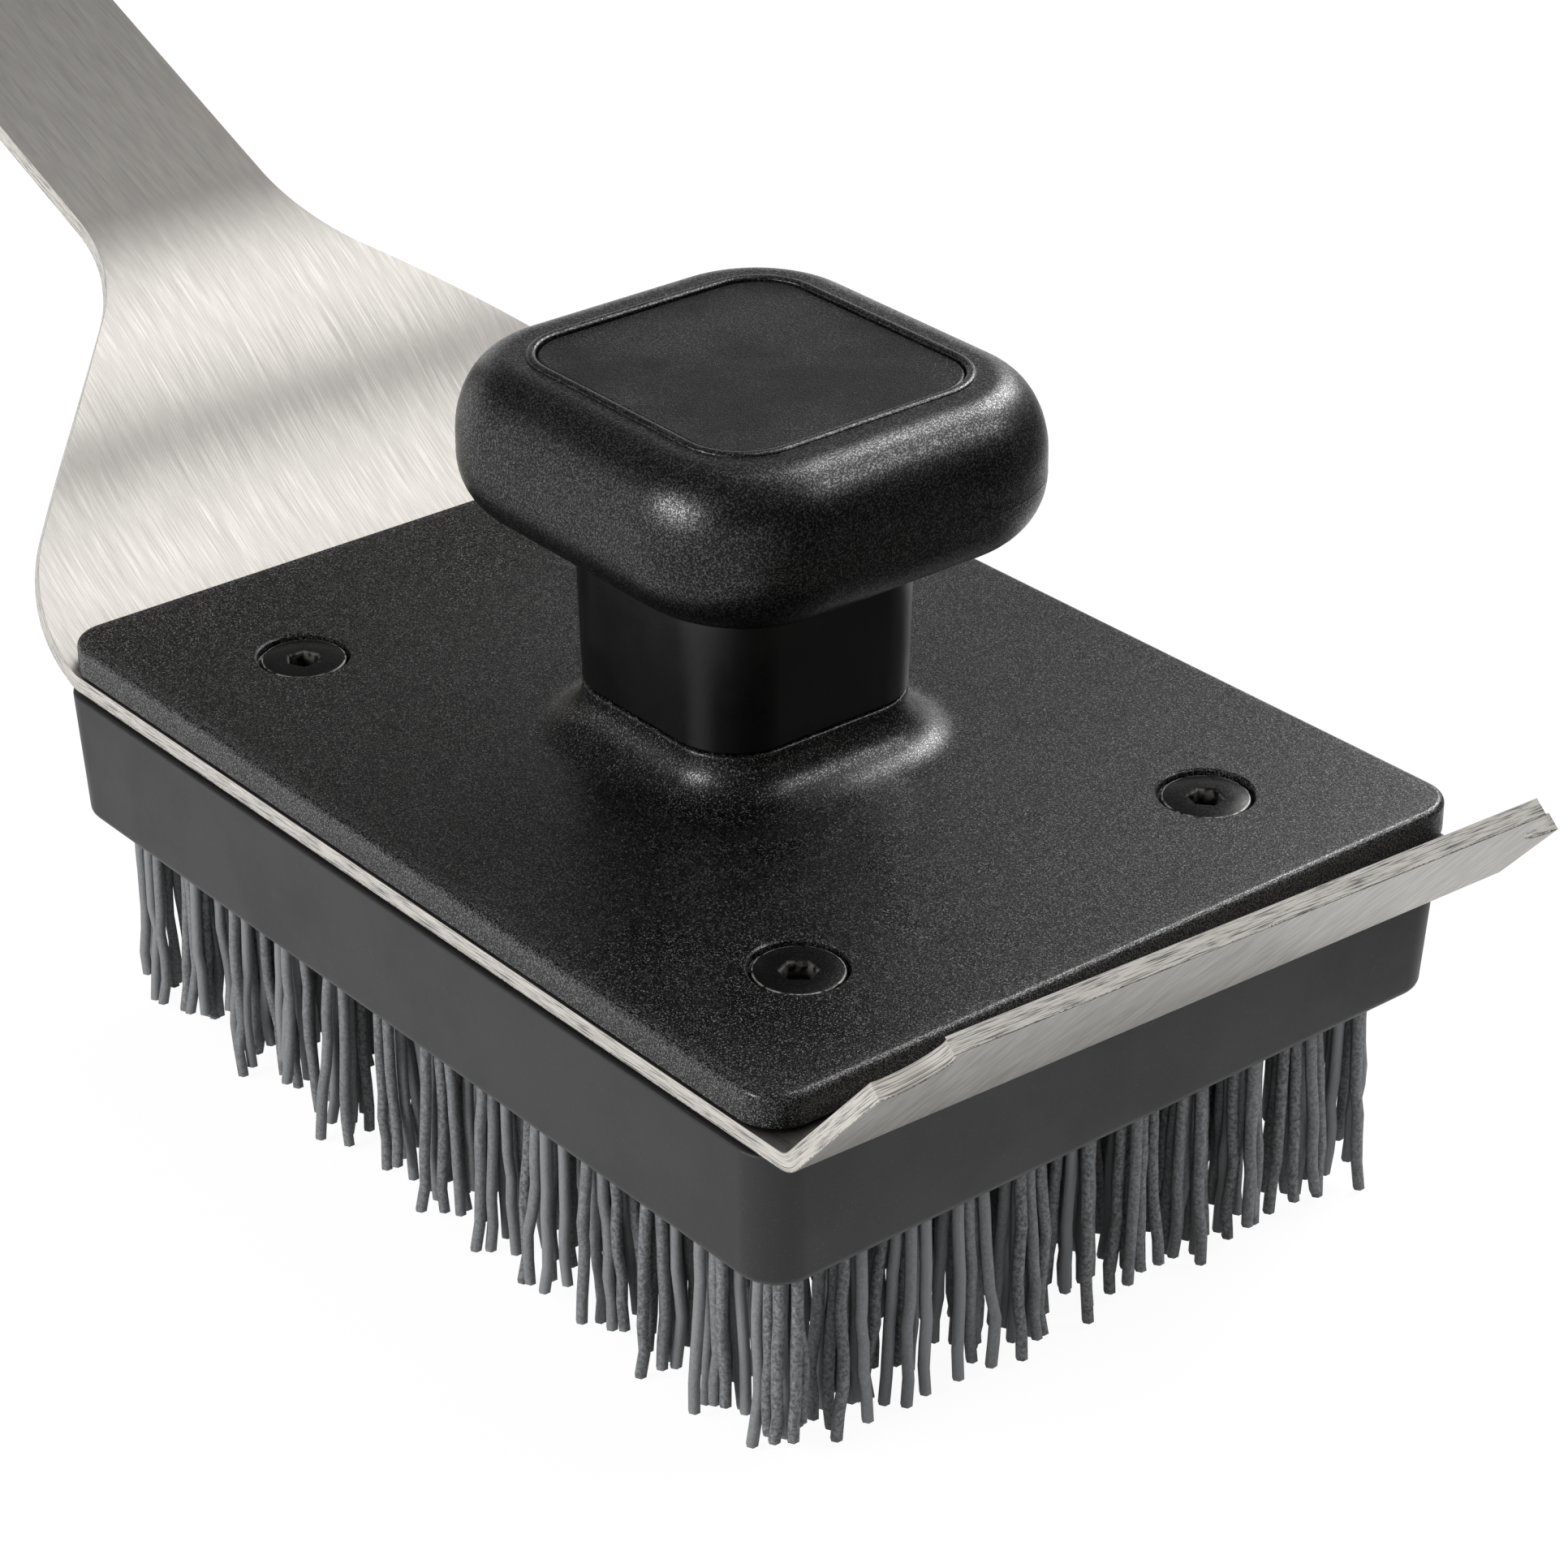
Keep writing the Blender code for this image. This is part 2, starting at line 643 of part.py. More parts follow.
def brush_block():
    """Drafted block with a bristle recess below and a pocket for the knob bolt's head above."""
    low_width = HEAD_WIDTH - 2 * BLOCK_DRAFT
    low_length = HEAD_LENGTH - 2 * BLOCK_DRAFT
    recess_width = low_width - 2 * BLOCK_WALL
    recess_length = low_length - 2 * BLOCK_WALL
    recess_corner = HEAD_CORNER - BLOCK_WALL
    rings = [
        box_ring(recess_width, recess_length, recess_corner, Z_PAD_BACK + SEAT_GAP),
        box_ring(recess_width, recess_length, recess_corner, Z_BLOCK),
    ]
    for sine, cosine in quarter_turn(3):
        inset = BLOCK_EDGE * (1 - sine)
        z = Z_BLOCK + BLOCK_EDGE * (1 - cosine)
        rings.append(box_ring(low_width - 2 * inset, low_length - 2 * inset, HEAD_CORNER - inset, z))
    rings.append(box_ring(HEAD_WIDTH, HEAD_LENGTH, HEAD_CORNER, Z_BLOCK_TOP))
    pocket = WASHER_RADIUS + SEAT_GAP
    rings.append(round_ring(pocket, Z_BLOCK_TOP, STEM_Y))
    rings.append(round_ring(pocket, Z_BOLT_HEAD - SEAT_GAP, STEM_Y))
    block = add_part("brush_block", loft("brush_block", rings), ((0.045, 0.045, 0.046), 0.60, 0.0))
    cut(block, insert_bores())
    return block


def insert_bores():
    """Blind bores for the threaded inserts."""
    bm = bmesh.new()
    low = Z_BLOCK_TOP - INSERT_LENGTH - 2 * SEAT_GAP
    for place in SCREW_PLACES.values():
        add_prism(bm, INSERT_RADIUS + SEAT_GAP, low, Z_BLOCK_TOP + SHEET, place)
    return closed_mesh(bm, "insert_bores")


def tuft_places():
    """Tuft centres: an odd count each way, so that one tuft stands at the head's centre."""
    places = []
    across = int((HEAD_WIDTH / 2 - BLOCK_DRAFT - TUFT_INSET) / TUFT_PITCH_X)
    along = int((HEAD_LENGTH / 2 - BLOCK_DRAFT - TUFT_INSET) / TUFT_PITCH_Y)
    for row in range(-along, along + 1):
        for column in range(-across, across + 1):
            places.append(Vector((column * TUFT_PITCH_X, row * TUFT_PITCH_Y)))
    return places


def add_strand(bm, root, middle, tip, tip_z):
    """One three-sided strand from inside the backing to its flat tip."""
    top = Z_PAD_FACE + STRAND_ROOT
    levels = ((root, top), (middle, (Z_PAD_FACE + tip_z) / 2), (tip, tip_z))
    rings = []
    for centre, z in levels:
        ring = []
        for side in range(STRAND_SIDES):
            angle = math.tau * side / STRAND_SIDES
            x = centre.x + STRAND_RADIUS * math.cos(angle)
            y = centre.y + STRAND_RADIUS * math.sin(angle)
            ring.append((x, y, z))
        rings.append(ring)
    add_loft(bm, rings)


def strands():
    """Three strands a tuft, one in the middle and two splayed to either side of it."""
    chance = random.Random(11)
    bm = bmesh.new()
    for place in tuft_places():
        turn = chance.uniform(0.0, math.pi)
        spread = Vector((math.cos(turn), math.sin(turn)))
        for side in (0, -1, 1):
            root = place + spread * side * TUFT_RADIUS
            lean = spread * side * STRAND_SPLAY * chance.uniform(0.2, 1.0)
            lean += Vector((chance.uniform(-1, 1), chance.uniform(-1, 1))) * STRAND_LEAN
            wave = Vector((chance.uniform(-1, 1), chance.uniform(-1, 1))) * STRAND_WAVE
            short = chance.uniform(0.0, STRAND_RAGGED)
            trimmed = chance.random() < TRIMMED_SHARE
            if place.length == 0 and side == 0:
                lean = wave = Vector((0, 0))
                trimmed = True
            tip_z = 0.0 if trimmed else short
            add_strand(bm, root, root + lean / 2 + wave, root + lean, tip_z)
    return closed_mesh(bm, "strands")


def bristle_pad():
    """Backing slice with its strands."""
    gap = BLOCK_DRAFT + BLOCK_WALL + SEAT_GAP
    width = HEAD_WIDTH - 2 * gap
    length = HEAD_LENGTH - 2 * gap
    corner = HEAD_CORNER - BLOCK_WALL - SEAT_GAP
    rings = [box_ring(width, length, corner, z) for z in (Z_PAD_FACE, Z_PAD_BACK)]
    pad = add_part("bristle_pad", loft("bristle_pad", rings), ((0.10, 0.11, 0.12), 0.75, 0.0))
    cluster = bpy.data.objects.new("bristle_strands", strands())
    cluster.hide_render = True
    cluster.display_type = "WIRE"
    CUTTERS.objects.link(cluster)
    modifier = pad.modifiers.new("fuse", "BOOLEAN")
    modifier.operation = "UNION"
    modifier.object = cluster
    return pad


# Fasteners

def cover_screws():
    """Countersunk socket screws through the cover and plate into the block's inserts."""
    top = Z_COVER_TOP - SCREW_SINK
    rim = top - SCREW_HEAD_RIM
    neck = rim - (SCREW_HEAD_RADIUS - SCREW_RADIUS)
    end = Z_BLOCK_TOP - SCREW_GRIP
    chamfer = SCREW_RADIUS / 4
    profile = (
        (0.0, top), (SCREW_HEAD_RADIUS, top), (SCREW_HEAD_RADIUS, rim), (SCREW_RADIUS, neck),
        (SCREW_RADIUS, end + chamfer), (SCREW_RADIUS - chamfer, end), (0.0, end),
    )
    for name, (x, y) in SCREW_PLACES.items():
        look = ((0.022, 0.022, 0.023), 0.35, 0.7)
        screw = turned(f"cover_screw_{name}", profile, False, look, place=(x, y, 0))
        bm = bmesh.new()
        corner_radius = SCREW_SOCKET / math.sqrt(3)
        add_prism(bm, corner_radius, top - SCREW_SOCKET_DEPTH, top + SHEET, (x, y), segments=6)
        cut(screw, closed_mesh(bm, "socket"))


def insert_profile(outer, inner, low, high):
    """Threaded insert with a shallow groove round its middle."""
    third = (high - low) / 3
    waist = outer - INSERT_GROOVE
    return (
        (inner, high), (outer, high), (outer, high - third), (waist, high - third),
        (waist, low + third), (outer, low + third), (outer, low), (inner, low),
    )


def inserts():
    """Brass inserts in the block and in the knob."""
    look = ((0.70, 0.52, 0.25), 0.35, 1.0)
    high = Z_BLOCK_TOP - SEAT_GAP
    profile = insert_profile(INSERT_RADIUS, SCREW_RADIUS + SEAT_GAP, high - INSERT_LENGTH, high)
    for name, (x, y) in SCREW_PLACES.items():
        turned(f"block_insert_{name}", profile, True, look, place=(x, y, 0))
    bore = BOLT_RADIUS + SEAT_GAP
    profile = insert_profile(KNOB_INSERT_RADIUS, bore, Z_TENON, Z_TENON + KNOB_INSERT_LENGTH)
    turned("knob_insert", profile, True, look, place=(0, STEM_Y, 0))


def knob_bolt():
    """Hexagon bolt that comes up through the plate and cover into the knob, with its washer."""
    end = Z_TENON + BOLT_GRIP
    chamfer = BOLT_RADIUS / 4
    rings = [
        hexagon_ring(BOLT_HEAD_WIDTH, Z_BOLT_HEAD, STEM_Y),
        hexagon_ring(BOLT_HEAD_WIDTH, Z_BOLT_SEAT, STEM_Y),
        round_ring(BOLT_RADIUS, Z_BOLT_SEAT, STEM_Y),
        round_ring(BOLT_RADIUS, end - chamfer, STEM_Y),
        round_ring(BOLT_RADIUS - chamfer, end, STEM_Y),
    ]
    look = ((0.55, 0.55, 0.56), 0.35, 1.0)
    add_part("knob_bolt", loft("knob_bolt", rings), look)
    hole = BOLT_RADIUS + SEAT_GAP
    high = Z_WASHER + WASHER_THICKNESS
    profile = ((hole, high), (WASHER_RADIUS, high), (WASHER_RADIUS, Z_WASHER), (hole, Z_WASHER))
    turned("knob_washer", profile, True, look, place=(0, STEM_Y, 0))


# Handle grip

def make_handle_axis():
    """Empty at the start of the handle's straight run: Y along it, Z out of its upper face."""
    axis = bpy.data.objects.new("handle_axis", None)
    axis.location = bent(0, RISE_Y + HANDLE_RUN)
    axis.rotation_euler = (HANDLE_ANGLE, 0, 0)
    PARTS.objects.link(axis)
    return axis


def grip_share(place):
    """How full the grip is at a place along it: 1 over most of it, falling off at the ends."""
    fullness = 6
    share = abs(place - GRIP_CENTRE) / (GRIP_LENGTH / 2)
    return max(1 - share**fullness, 0.0) ** (1 / fullness)


def grip_rings():
    """Sections of one grip scale: flat against the plate, crowned outside."""
    rings = []
    squareness = 2 / 2.7
    end_share = 0.995
    for station in range(GRIP_STATIONS + 1):
        sweep = math.sin(math.pi * (station / GRIP_STATIONS - 0.5))
        place = GRIP_CENTRE + GRIP_LENGTH / 2 * end_share * sweep
        share = grip_share(place)
        ring = []
        for point in range(GRIP_POINTS + 1):
            angle = math.pi * point / GRIP_POINTS
            across = math.copysign(abs(math.cos(angle)) ** squareness, math.cos(angle))
            out = math.sin(angle) ** squareness if 0 < point < GRIP_POINTS else 0.0
            ring.append((GRIP_WIDTH / 2 * share * across, place, GRIP_THICKNESS * share * out))
        rings.append(ring)
    return rings


def grip_scale(name, base, flip):
    """One half of the grip, with its rivet holes and their round recesses."""
    mesh = loft(name, grip_rings())
    mesh.transform(Matrix.Translation((0, 0, base)))
    bm = bmesh.new()
    hole = RIVET_RADIUS + SEAT_GAP
    recess = RIVET_HEAD_RADIUS + SEAT_GAP
    for place in RIVET_PLACES.values():
        floor = base + rivet_floor(place)
        top = base + 2 * GRIP_THICKNESS
        add_stepped(bm, ((hole, base - SHEET), (hole, floor), (recess, floor), (recess, top)), 0, place)
    holes = closed_mesh(bm, f"{name}_holes")
    if flip:
        turn = Matrix.Translation((0, 0, -SHEET)) @ Matrix.Rotation(math.pi, 4, "Y")
        mesh.transform(turn)
        holes.transform(turn)
    scale = add_part(name, mesh, ((0.030, 0.030, 0.031), 0.60, 0.0), HANDLE_AXIS)
    cut(scale, holes, HANDLE_AXIS)


def rivet_floor(place):
    """Height of a rivet recess's floor above the grip's flat side."""
    return GRIP_THICKNESS * grip_share(place) - RIVET_HEAD - SEAT_GAP


def grip_rivets():
    """Rivets through both grip scales and the plate, headed on both sides."""
    middle = -SHEET / 2
    for name, place in RIVET_PLACES.items():
        seat = SHEET / 2 + SEAT_GAP + rivet_floor(place) + SEAT_GAP
        edge = seat + RIVET_HEAD
        crown = edge + RIVET_DOME
        half = (
            (0.0, crown), (RIVET_HEAD_RADIUS * 0.7, crown - RIVET_DOME / 2), (RIVET_HEAD_RADIUS, edge),
            (RIVET_HEAD_RADIUS, seat), (RIVET_RADIUS, seat),
        )
        profile = [(radius, middle + z) for radius, z in half]
        profile += [(radius, middle - z) for radius, z in reversed(half)]
        look = ((0.58, 0.57, 0.55), 0.30, 1.0)
        turned(f"grip_rivet_{name}", profile, False, look, HANDLE_AXIS, (0, place, 0))


clear_scene()
PARTS = make_collection("grill_cleaning_brush")
CUTTERS = make_collection("cutters")
HANDLE_AXIS = make_handle_axis()
bpy.context.view_layer.update()

steel_plate()
cover_plate()
knob()
knob_cap()
brush_block()
bristle_pad()
cover_screws()
inserts()
knob_bolt()
grip_scale("grip_upper", SEAT_GAP, False)
grip_scale("grip_lower", SEAT_GAP, True)
grip_rivets()
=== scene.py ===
"""Grill cleaning brush: the finished look of every piece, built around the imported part.

Each operator builds one piece, or one group of like pieces, in metres and in the part's own frame:
bristle tips on z = 0, the scraper lip towards -Y, the handle rising towards +Y.
"""

import math
from functools import partial

import bmesh
import bpy
from mathutils import Euler, Matrix, Vector


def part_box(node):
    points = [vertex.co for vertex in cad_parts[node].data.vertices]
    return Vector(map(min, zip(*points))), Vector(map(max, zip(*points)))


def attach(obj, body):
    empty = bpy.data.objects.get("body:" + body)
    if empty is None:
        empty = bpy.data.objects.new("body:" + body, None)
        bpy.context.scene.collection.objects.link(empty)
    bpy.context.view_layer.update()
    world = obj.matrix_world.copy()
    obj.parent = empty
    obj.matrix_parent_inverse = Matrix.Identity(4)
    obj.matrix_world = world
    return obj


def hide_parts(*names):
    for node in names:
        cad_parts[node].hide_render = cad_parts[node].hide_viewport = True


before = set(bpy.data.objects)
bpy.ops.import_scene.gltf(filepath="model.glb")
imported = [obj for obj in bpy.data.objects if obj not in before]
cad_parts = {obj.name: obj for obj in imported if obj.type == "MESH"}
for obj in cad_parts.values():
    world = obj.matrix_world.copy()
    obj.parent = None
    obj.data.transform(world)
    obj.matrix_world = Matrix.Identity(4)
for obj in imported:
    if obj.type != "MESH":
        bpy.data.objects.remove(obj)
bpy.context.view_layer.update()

bl_info = {
    "name": "Grill Cleaning Brush",
    "version": (1, 0, 0),
    "blender": (4, 5, 0),
    "location": "View3D > Sidebar > Brush",
    "description": "Builds the finished grill cleaning brush piece by piece",
    "category": "Add Mesh",
}

BODY = "root"
SCREW_NODES = [f"cover_screw_{name}" for name in ("front_left", "front_right", "rear_left", "rear_right")]
RIVET_NODES = [f"grip_rivet_{name}" for name in ("front", "middle", "rear")]


def span(low, high):
    """Width and length of a box."""
    return high.x - low.x, high.y - low.y


def box_centre(node):
    """Middle of a CAD node's box."""
    low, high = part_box(node)
    return (low + high) / 2


COVER_LOW, COVER_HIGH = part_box("cover_plate")
KNOB_LOW, KNOB_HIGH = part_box("knob")
CAP_LOW, CAP_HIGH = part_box("knob_cap")
BLOCK_LOW, BLOCK_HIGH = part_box("brush_block")
PAD_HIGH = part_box("bristle_pad")[1]
SCREW_LOW, SCREW_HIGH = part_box("cover_screw_front_left")
SCREW_HEAD_RADIUS = (SCREW_HIGH.x - SCREW_LOW.x) / 2
HEAD_WIDTH, HEAD_LENGTH = span(COVER_LOW, COVER_HIGH)
KNOB_Y = (KNOB_LOW.y + KNOB_HIGH.y) / 2
STEM_Y = box_centre("knob_bolt").y
SCREW_PLACES = [box_centre(node) for node in SCREW_NODES]
RIVET_PLACES = [box_centre(node) for node in RIVET_NODES]

# Air left between pieces that touch, and the rounding of a screw's edges
SEAT_GAP = 0.0003
SCREW_EDGE = 0.0003
# How far from its edges the cover is worn
WEAR_REACH = 0.0024


# Settings that a user would change

def size(name, description, default):
    """A length in metres."""
    return bpy.props.FloatProperty(
        name=name, description=description, default=default, unit="LENGTH", precision=5
    )


def angle(name, description, degrees):
    """An angle, given in degrees and kept in radians."""
    return bpy.props.FloatProperty(
        name=name, description=description, default=math.radians(degrees), subtype="ANGLE"
    )


def count(name, description, default):
    """A whole number of copies or steps."""
    return bpy.props.IntProperty(name=name, description=description, default=default, min=1)


def colour(name, description, default):
    """A surface colour."""
    return bpy.props.FloatVectorProperty(
        name=name, description=description, default=default, size=3, subtype="COLOR", min=0, max=1
    )


def share(name, description, default, unit="NONE"):
    """A number that is neither a length nor an angle."""
    return bpy.props.FloatProperty(name=name, description=description, default=default, unit=unit)


class PlateSizes(bpy.types.PropertyGroup):
    """The steel sheet and its folds."""

    thickness: size("Thickness", "Thickness of the steel sheet", 0.0024)
    edge_break: size("Edge break", "Rounding of the sheet's cut edges", 0.00018)
    lip_margin: size("Lip margin", "Flat run between the cover and the lip's fold", 0.0038)
    lip_bend: size("Lip bend", "Inner radius of the lip's fold", 0.0020)
    lip_angle: angle("Lip angle", "How far the scraper lip is folded up", 49.2)
    lip_height: size("Lip height", "Straight height of the lip at its middle", 0.0277)
    lip_skew: angle("Lip skew", "How far the fold is out of square", 2.1)
    edge_skew: angle("Edge skew", "How far the blank's front edge is out of square", 0.4)
    notch_radius: size("Notch radius", "Round notch at the lip's left end", 0.0052)
    notch_inset: size("Notch inset", "Notch centre in from the lip's end", 0.0020)
    notch_drop: size("Notch drop", "Notch centre below the lip's edge", 0.0040)
    scoop_radius: size("Scoop radius", "Wide scoop at the lip's right end", 0.0125)
    kink_inset: size("Kink inset", "Sharp bend's start in from the cover's rear edge", 0.0038)
    kink_bend: size("Kink bend", "Radius of the sharp bend behind the head", 0.0035)
    kink_angle: angle("Kink angle", "Slope after the sharp bend", 24.0)
    rise_bend: size("Rise bend", "Radius of the sheet's upward sweep", 0.0905)
    rise_angle: angle("Rise angle", "Steepest slope behind the head", 42.6)
    rise_length: size("Rise length", "Straight run between the two sweeps", 0.0028)
    handle_bend: size("Handle bend", "Radius of the sweep into the handle", 0.1046)
    handle_angle: angle("Handle angle", "Slope of the handle", 22.2)
    handle_width: size("Handle width", "Width of the handle strip", 0.0321)
    handle_length: size("Handle length", "Straight length of the handle", 0.2320)
    handle_end: size("Handle end", "Corner radius at the handle's end", 0.0100)
    flare_start: size("Flare start", "Run behind the head where the flare begins", 0.0146)
    flare_angle: angle("Flare angle", "Slope of the flare's sides", 40.9)
    flare_shoulder: size("Flare shoulder", "Radius where the flare leaves the head", 0.0337)
    flare_neck: size("Flare neck", "Radius where the flare meets the handle", 0.0288)
    hang_radius: size("Hang hole radius", "Radius of the hanging hole", 0.0050)
    hang_inset: size("Hang hole inset", "Hanging hole in from the handle's end", 0.0110)


class HeadSizes(bpy.types.PropertyGroup):
    """The cover, the block and the cover screws."""

    width: size("Width", "Width of the head", HEAD_WIDTH)
    length: size("Length", "Length of the head", HEAD_LENGTH)
    corner: size("Corner", "Corner radius of the head", 0.0058)
    cover_overhang: size("Cover overhang", "Reach of the cover's right front corner over the plate", 0.0024)
    cover_edge: size("Cover edge", "Rounding of the cover's upper edge", 0.0009)
    boss_height: size("Boss height", "Height of the cover's boss", 0.0066)
    boss_spread: size("Boss spread", "Reach of the boss's hollow fillet", 0.0070)
    rim_round: size("Rim rounding", "Rounding where the boss meets the stem", 0.0005)
    recess_radius: size("Screw recess", "Radius of the recess round each screw", SCREW_HEAD_RADIUS + 0.0006)
    screw_sink: size("Screw sink", "How far the screw heads sit below the cover", 0.0005)
    screw_socket: size("Screw socket", "Hexagon socket across its flats", 0.0040)
    socket_depth: size("Socket depth", "Depth of the hexagon socket", 0.0022)
    screw_radius: size("Screw radius", "Radius of the screw's shank", 0.0030)
    block_draft: size("Block draft", "How far the block's sides draw in", 0.0008)
    block_swell: size("Block swell", "How far the block stands out from under the plate", 0.0008)
    block_edge: size("Block edge", "Rounding of the block's lower edge", 0.0014)
    block_wall: size("Block wall", "Wall round the bristle backing", 0.0025)


class KnobSizes(bpy.types.PropertyGroup):
    """The push knob and its cap."""

    stem_width: size("Stem width", "Width of the square stem at its foot", 0.0357)
    stem_draft: size("Stem draft", "How far the stem's sides spread towards the head", 0.0006)
    stem_corner: size("Stem corner", "Corner radius of the stem", 0.0090)
    stem_fillet: size("Stem fillet", "Hollow fillet between stem and head", 0.0020)
    head_corner: size("Head corner", "Corner radius of the knob's head", 0.0180)
    head_thickness: size("Head thickness", "Thickness of the knob's head", 0.0218)
    shoulder_run: size("Shoulder run", "How far the upper rounding reaches in", 0.0074)
    shoulder_drop: size("Shoulder drop", "How far the upper rounding reaches down", 0.0104)
    under_round: size("Under rounding", "Rounding of the head's underside", 0.0087)
    cap_corner: size("Cap corner", "Corner radius of the cap", 0.0076)
    cap_edge: size("Cap edge", "Rounding of the cap's rim", 0.0005)
    cap_gap: size("Cap gap", "Gap round the cap", 0.0001)
    cap_lift: size("Cap lift", "How far the cap's face is brought up to the bead", 0.0004)
    bead_width: size("Bead width", "Width of the raised bead round the cap", 0.0013)
    bead_height: size("Bead height", "Height of the raised bead round the cap", 0.0004)
    parting: size("Parting line", "Height of the moulding's parting line", 0.00003)


class BristleSizes(bpy.types.PropertyGroup):
    """The nylon tufts."""

    columns: count("Columns", "Tufts across the head", 11)
    rows: count("Rows", "Tufts along the head", 13)
    pitch_x: size("Pitch across", "Tuft spacing across the head", 0.0096)
    pitch_y: size("Pitch along", "Tuft spacing along the head", 0.0115)
    filaments: count("Filaments", "Filaments in a tuft", 9)
    tuft_radius: size("Tuft radius", "Radius of a tuft at its root", 0.0027)
    radius: size("Filament radius", "Radius of one filament", 0.00082)
    ragged: size("Ragged ends", "How far the shortest tips fall short", 0.0048)
    splay: size("Splay", "How far a tuft opens towards its tips", 0.0016)
    wave: size("Wave", "How far a filament wanders from straight", 0.0019)
    face: size("Backing face", "Height of the backing the tufts grow from", 0.0310)


class GripSizes(bpy.types.PropertyGroup):
    """The grip scales on the handle."""

    length: size("Length", "Length of the grip", 0.1250)
    tail: size("Tail", "Bare handle behind the grip", 0.0260)
    width: size("Width", "Width of the grip", 0.0345)
    thickness: size("Thickness", "Thickness of one scale", 0.0090)
    gap: size("Gap", "Gap between a scale and the sheet", 0.0003)
    rivet_radius: size("Rivet radius", "Radius of a rivet's shank", 0.0025)
    rivet_head: size("Rivet head", "Radius of a rivet's head", 0.0055)
    rivet_rim: size("Rivet rim", "Height of a rivet's head at its rim", 0.0016)
    rivet_dome: size("Rivet dome", "Crown of a rivet's head", 0.0004)


class Finishes(bpy.types.PropertyGroup):
    """Colours of the surfaces."""

    plastic: colour("Black plastic", "Grained moulding of cover, knob and grip", (0.0055, 0.0055, 0.0055))
    block: colour("Block plastic", "Smooth moulding of the block", (0.013, 0.013, 0.013))
    steel: colour("Steel", "Brushed steel sheet", (0.61, 0.585, 0.55))
    # Lighter than the steel: partly the ground finish, partly painted light standing in for the lamps the
    # sheet is screened from.
    cut_edge: colour("Cut edge", "Ground edges of the sheet", (0.74, 0.71, 0.66))
    nylon: colour("Nylon", "Grit-filled bristles", (0.15, 0.154, 0.158))
    oxide: colour("Black oxide", "Cover screws", (0.004, 0.004, 0.004))
    brass: colour("Brass", "Threaded inserts", (0.72, 0.53, 0.25))
    zinc: colour("Zinc", "Bolt, washer and rivets", (0.60, 0.60, 0.60))


class StageSettings(bpy.types.PropertyGroup):
    """Floor, lamps and camera."""

    camera_x: size("Camera X", "Camera place across the brush", -0.3232)
    camera_y: size("Camera Y", "Camera place along the brush", -0.4050)
    camera_z: size("Camera Z", "Camera height above the floor", 0.3317)
    camera_turn: angle("Camera turn", "Camera heading about the vertical", -39.36)
    camera_dip: angle("Camera dip", "How far the camera looks down", 28.78)
    lens: share("Lens", "Focal length of the camera", 101.5, "CAMERA")
    ambient: share("Ambient", "Light from all round", 0.4)
    ceiling: share("Ceiling", "Brightness of the dark ceiling in mirrored light", 0.09)
    zenith: share("Zenith", "Brightness straight above in mirrored light", 0.28)
    strip_light: share("Strip light", "Power of the long lamp on the right", 14.0, "POWER")
    panel_light: share("Panel light", "Power of the wide lamp in front", 4.5, "POWER")
    overhead_light: share("Overhead light", "Power of the dim lamp above the handle", 3.0, "POWER")
    window_light: share("Window light", "Power of the wide low lamp on the left", 12.0, "POWER")
    floor_size: size("Floor size", "Side of the floor", 12.0)


# Mesh helpers

def rounded_ring(width, length, corner, z, y=0.0, steps=12):
    """A rounded rectangle, counter-clockwise seen from above."""
    points = []
    for side, (sx, sy) in enumerate(((1, 1), (-1, 1), (-1, -1), (1, -1))):
        for step in range(steps + 1):
            turn = math.pi / 2 * (side + step / steps)
            px = sx * (width / 2 - corner) + corner * math.cos(turn)
            py = sy * (length / 2 - corner) + corner * math.sin(turn)
            points.append((px, y + py, z))
    return points


def inset_ring(sides, corner, inset, z, y=0.0, steps=12):
    """A level of a rounded box, drawn in from its outline."""
    width, length = sides
    return rounded_ring(width - 2 * inset, length - 2 * inset, corner - inset, z, y, steps)


def circle_ring(radius, z, points=48):
    """A circle about the Z axis."""
    turns = [math.tau * step / points for step in range(points)]
    return [(radius * math.cos(turn), radius * math.sin(turn), z) for turn in turns]


def hexagon_ring(flats, z, points=48):
    """A hexagon about the Z axis, with as many points as a circle ring."""
    side = points // 6
    corners = [Vector((math.cos(k * math.pi / 3), math.sin(k * math.pi / 3))) for k in range(7)]
    ring = []
    for k in range(6):
        for step in range(side):
            point = corners[k].lerp(corners[k + 1], step / side) * flats / math.sqrt(3)
            ring.append((point.x, point.y, z))
    return ring


def quarter(steps):
    """Sine and cosine pairs along a quarter circle, ends included."""
    turns = [math.pi / 2 * step / steps for step in range(steps + 1)]
    return [(math.sin(turn), math.cos(turn)) for turn in turns]


def roll_over(ring, steps, top, run, drop, start=0.0):
    """Rings of a rounding that ends level at the top."""
    return [ring(start + run * (1 - cosine), top - drop * (1 - sine)) for sine, cosine in quarter(steps)]


def roll_under(ring, steps, low, run, rise):
    """Rings of a rounding that starts level at the bottom."""
    return [ring(run * (1 - sine), low + rise * (1 - cosine)) for sine, cosine in quarter(steps)]


def closed_mesh(bm, name):
    """Turn a bmesh into a mesh whose faces point outwards."""
    bmesh.ops.recalc_face_normals(bm, faces=bm.faces)
    return plain_mesh(bm, name)


def plain_mesh(bm, name):
    """Turn a bmesh into a mesh."""
    mesh = bpy.data.meshes.new(name)
    bm.to_mesh(mesh)
    bm.free()
    return mesh


def add_loft(bm, rings):
    """Skin a row of rings of equal count, with a flat cap at each end."""
    rows = [[bm.verts.new(point) for point in ring] for ring in rings]
    points = len(rows[0])
    for lower, upper in zip(rows, rows[1:]):
        for i in range(points):
            j = (i + 1) % points
            bm.faces.new((lower[i], lower[j], upper[j], upper[i]))
    bm.faces.new(reversed(rows[0]))
    bm.faces.new(rows[-1])


